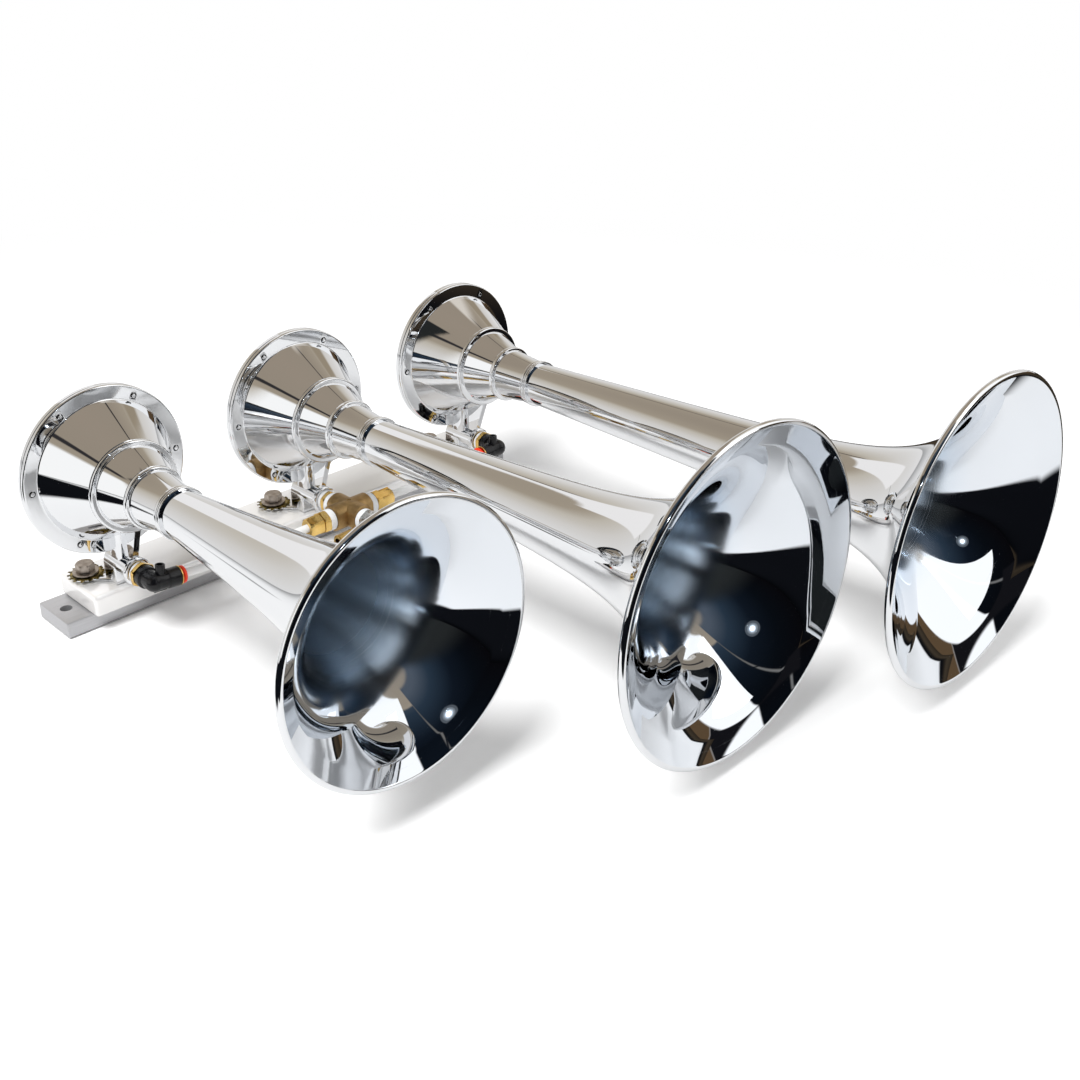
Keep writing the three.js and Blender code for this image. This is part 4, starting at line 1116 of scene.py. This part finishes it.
def floor():
    """A white table to the eye. Metal sees it end a little in front of the horns, over a dark floor."""
    white, bright = (0.86, 0.86, 0.86), (1.1, 1.1, 1.1)
    black, brown = (0.004, 0.0045, 0.006), (0.06, 0.045, 0.03)
    reach = 14
    height = cad_box[0][2] - 0.001
    data = bpy.data.meshes.new("floor")
    data.from_pydata([(-reach, -reach, height), (reach, -reach, height), (reach, reach, height),
                      (-reach, reach, height)], [], [(0, 1, 2, 3)])
    obj = bpy.data.objects.new("floor", data)
    bpy.context.collection.objects.link(obj)
    material = bpy.data.materials.new("floor")
    material.use_nodes = True
    graph, rays = blank(material.node_tree)
    place = graph.node("ShaderNodeTexCoord").outputs["Object"]
    parts = graph.node("ShaderNodeSeparateXYZ", {0: place}).outputs
    x, y = parts["X"], parts["Y"]
    front = graph.step(graph.calc("ADD", y, graph.calc("MULTIPLY", x, 0.3)), -0.65, -0.63)
    near = graph.calc("MULTIPLY", graph.inside(x, -0.44, 0.46, 0.03), front)
    table = graph.calc("MAXIMUM", near, graph.step(y, 0.22, 0.34))
    beyond = graph.mix(graph.step(x, 0.5, 0.9), black, brown)
    color = graph.mix(rays["Is Glossy Ray"], white, graph.mix(table, beyond, white))
    color = graph.mix(rays["Is Camera Ray"], color, bright)
    lit = graph.node("ShaderNodeBsdfDiffuse", {"Color": color}).outputs[0]
    glow = graph.node("ShaderNodeEmission", {"Color": (1, 1, 1, 1), "Strength": 1.0}).outputs[0]
    distance = graph.node("ShaderNodeVectorMath", {0: place}, operation="LENGTH").outputs["Value"]
    far = graph.calc("MULTIPLY", graph.step(distance, 0.7, 1.15), rays["Is Camera Ray"])
    surface = graph.node("ShaderNodeMixShader", {0: far, 1: lit, 2: glow}).outputs[0]
    graph.node("ShaderNodeOutputMaterial", {"Surface": surface})
    data.materials.append(material)


# Colours of the room by height, from the horizon at 0 to straight up at 1
WALLS = ((0.0, (0.86, 0.85, 0.84)), (0.20, (0.76, 0.73, 0.69)), (0.35, (0.62, 0.57, 0.49)),
         (0.43, (0.42, 0.36, 0.28)), (0.60, (0.36, 0.305, 0.24)), (1.0, (0.37, 0.31, 0.245)))
DARK_ROOM = ((0.0, (0.003, 0.003, 0.004)), (0.14, (0.003, 0.0045, 0.007)), (0.30, (0.006, 0.010, 0.017)),
             (0.50, (0.025, 0.042, 0.065)), (0.66, (0.09, 0.11, 0.14)))
DARK_CORNER = (0.022, 0.024, 0.024)
BEAM = (0.035, 0.033, 0.035)
# Patches of the room: left, right, low and high edge and softness in degrees, and colour. Heading 0 is the
# way the horns point, and it grows toward +X.
WALL_PATCHES = ((92, 116, 22, 36, 2.5, (0.36, 0.30, 0.22)), (153.5, 179.5, 10, 40, 1, (1.0, 0.98, 0.97)),
                (78, 104, 37, 62, 2.5, (0.80, 0.74, 0.66)), (-113, -84, -5, 38, 2.5, (1.15, 1.15, 1.14)))
DARK_PATCHES = ((-76, 14, -12, 66, 1), (14, 29.5, -12, 50, 1))
FRONT_PATCHES = ((29, 76, 6, 60, 0.6, (1.25, 1.25, 1.25)), (10, 52, -12, 6, 0.6, (0.008, 0.008, 0.01)),
                 (52, 90, -12, 6, 0.6, (0.12, 0.075, 0.04)))


def world():
    """A white studio to the eye. In metal it is a room: pale walls behind, a taupe ceiling with dark beams,
    a large white light at the right front and a dark, bluish space at the left front."""
    data = bpy.data.worlds.new("studio")
    bpy.context.scene.world = data
    data.use_nodes = True
    graph, rays = blank(data.node_tree)
    place = graph.node("ShaderNodeTexCoord").outputs["Generated"]
    parts = graph.node("ShaderNodeSeparateXYZ", {0: place}).outputs
    x, y, z = parts["X"], parts["Y"], parts["Z"]
    heading = graph.calc("ARCTAN2", x, graph.calc("MULTIPLY", y, -1.0))
    rise = graph.calc("ARCSINE", z)

    def window(left, right, low, high, soft):
        """A soft-edged patch of sky between two headings and two heights."""
        wide = graph.inside(heading, *(math.radians(value) for value in (left, right, soft)))
        tall = graph.inside(rise, *(math.radians(value) for value in (low, high, soft)))
        return graph.calc("MULTIPLY", wide, tall)

    def slab(value, low, high, soft, other, start, end, other_soft):
        """A beam of the ceiling."""
        return graph.calc("MULTIPLY", graph.inside(value, low, high, soft),
                          graph.inside(other, start, end, other_soft))

    share = graph.calc("DIVIDE", rise, math.pi / 2)
    up = graph.calc("MAXIMUM", z, 0.05)
    across, along = graph.calc("DIVIDE", x, up), graph.calc("DIVIDE", y, up)
    beam = slab(along, 0.40, 0.50, 0.02, across, -0.75, 0.15, 0.05)
    side_beam = slab(across, -0.95, -0.80, 0.03, along, -0.6, 0.4, 0.05)
    far_beam = graph.inside(across, 0.62, 0.66, 0.012)
    beams = graph.calc("MAXIMUM", graph.calc("MAXIMUM", beam, side_beam), far_beam)
    sky = graph.mix(beams, graph.ramp(share, WALLS), BEAM)
    for *edges, color in WALL_PATCHES:
        sky = graph.mix(window(*edges), sky, color)
    left = graph.step(heading, math.radians(-38), math.radians(-60))
    dark = graph.mix(left, graph.ramp(share, DARK_ROOM), DARK_CORNER)
    for edges in DARK_PATCHES:
        sky = graph.mix(window(*edges), sky, dark)
    for *edges, color in FRONT_PATCHES:
        sky = graph.mix(window(*edges), sky, color)
    color = graph.mix(rays["Is Glossy Ray"], (0.5, 0.5, 0.5), sky)
    color = graph.mix(rays["Is Transmission Ray"], color, (1.0, 1.0, 1.0))
    color = graph.mix(rays["Is Camera Ray"], color, (1.0, 1.0, 1.0))
    surface = graph.node("ShaderNodeBackground", {"Color": color, "Strength": 1.0}).outputs[0]
    graph.node("ShaderNodeOutputWorld", {"Surface": surface})


# The brightness and radius of each layer of the small lamp, from its core to its soft halo
GLINT_LAYERS = ((45, 0.016), (6, 0.022), (2, 0.031), (0.8, 0.043), (0.3, 0.06), (0.12, 0.085))


def lamps():
    """A broad lamp at the upper left for the shadows, a white card at the right, and a small lamp with a
    soft halo that glints in the bells."""
    area("window", (-1.4, -0.5, 2.6), (0.0, -0.2, 0.0), (1.2, 1.2), 76).visible_glossy = False
    area("card", (0.30, -0.78, 0.44), (0.30, 0.0, 0.44), (0.2, 0.63), 0.5)
    for index, (bright, radius) in enumerate(GLINT_LAYERS):
        data = bpy.data.lights.new(f"glint_{index}", "POINT")
        data.energy = bright * (2 * math.pi * radius) ** 2
        data.shadow_soft_size = radius
        data.color = (0.80, 0.90, 1.0)
        obj = bpy.data.objects.new(data.name, data)
        obj.location = (-0.106, -1.21, 0.47)
        bpy.context.collection.objects.link(obj)


def main():
    camera()
    shared = shared_parts()
    for horn in HORNS:
        add_horn(horn, shared)
    for number, horn, toward in ((1, "horn_1", 1), (3, "horn_3", -1)):
        swivel, front = add_elbow(number, horn, toward, f"elbow_{number}", f"collet_{number}")
        add_tube(number, toward, swivel, front)
    cross_fittings()
    add_bars()
    finish_inner_nodes()
    floor()
    world()
    lamps()
    bpy.context.scene.view_settings.view_transform = "Standard"


main()
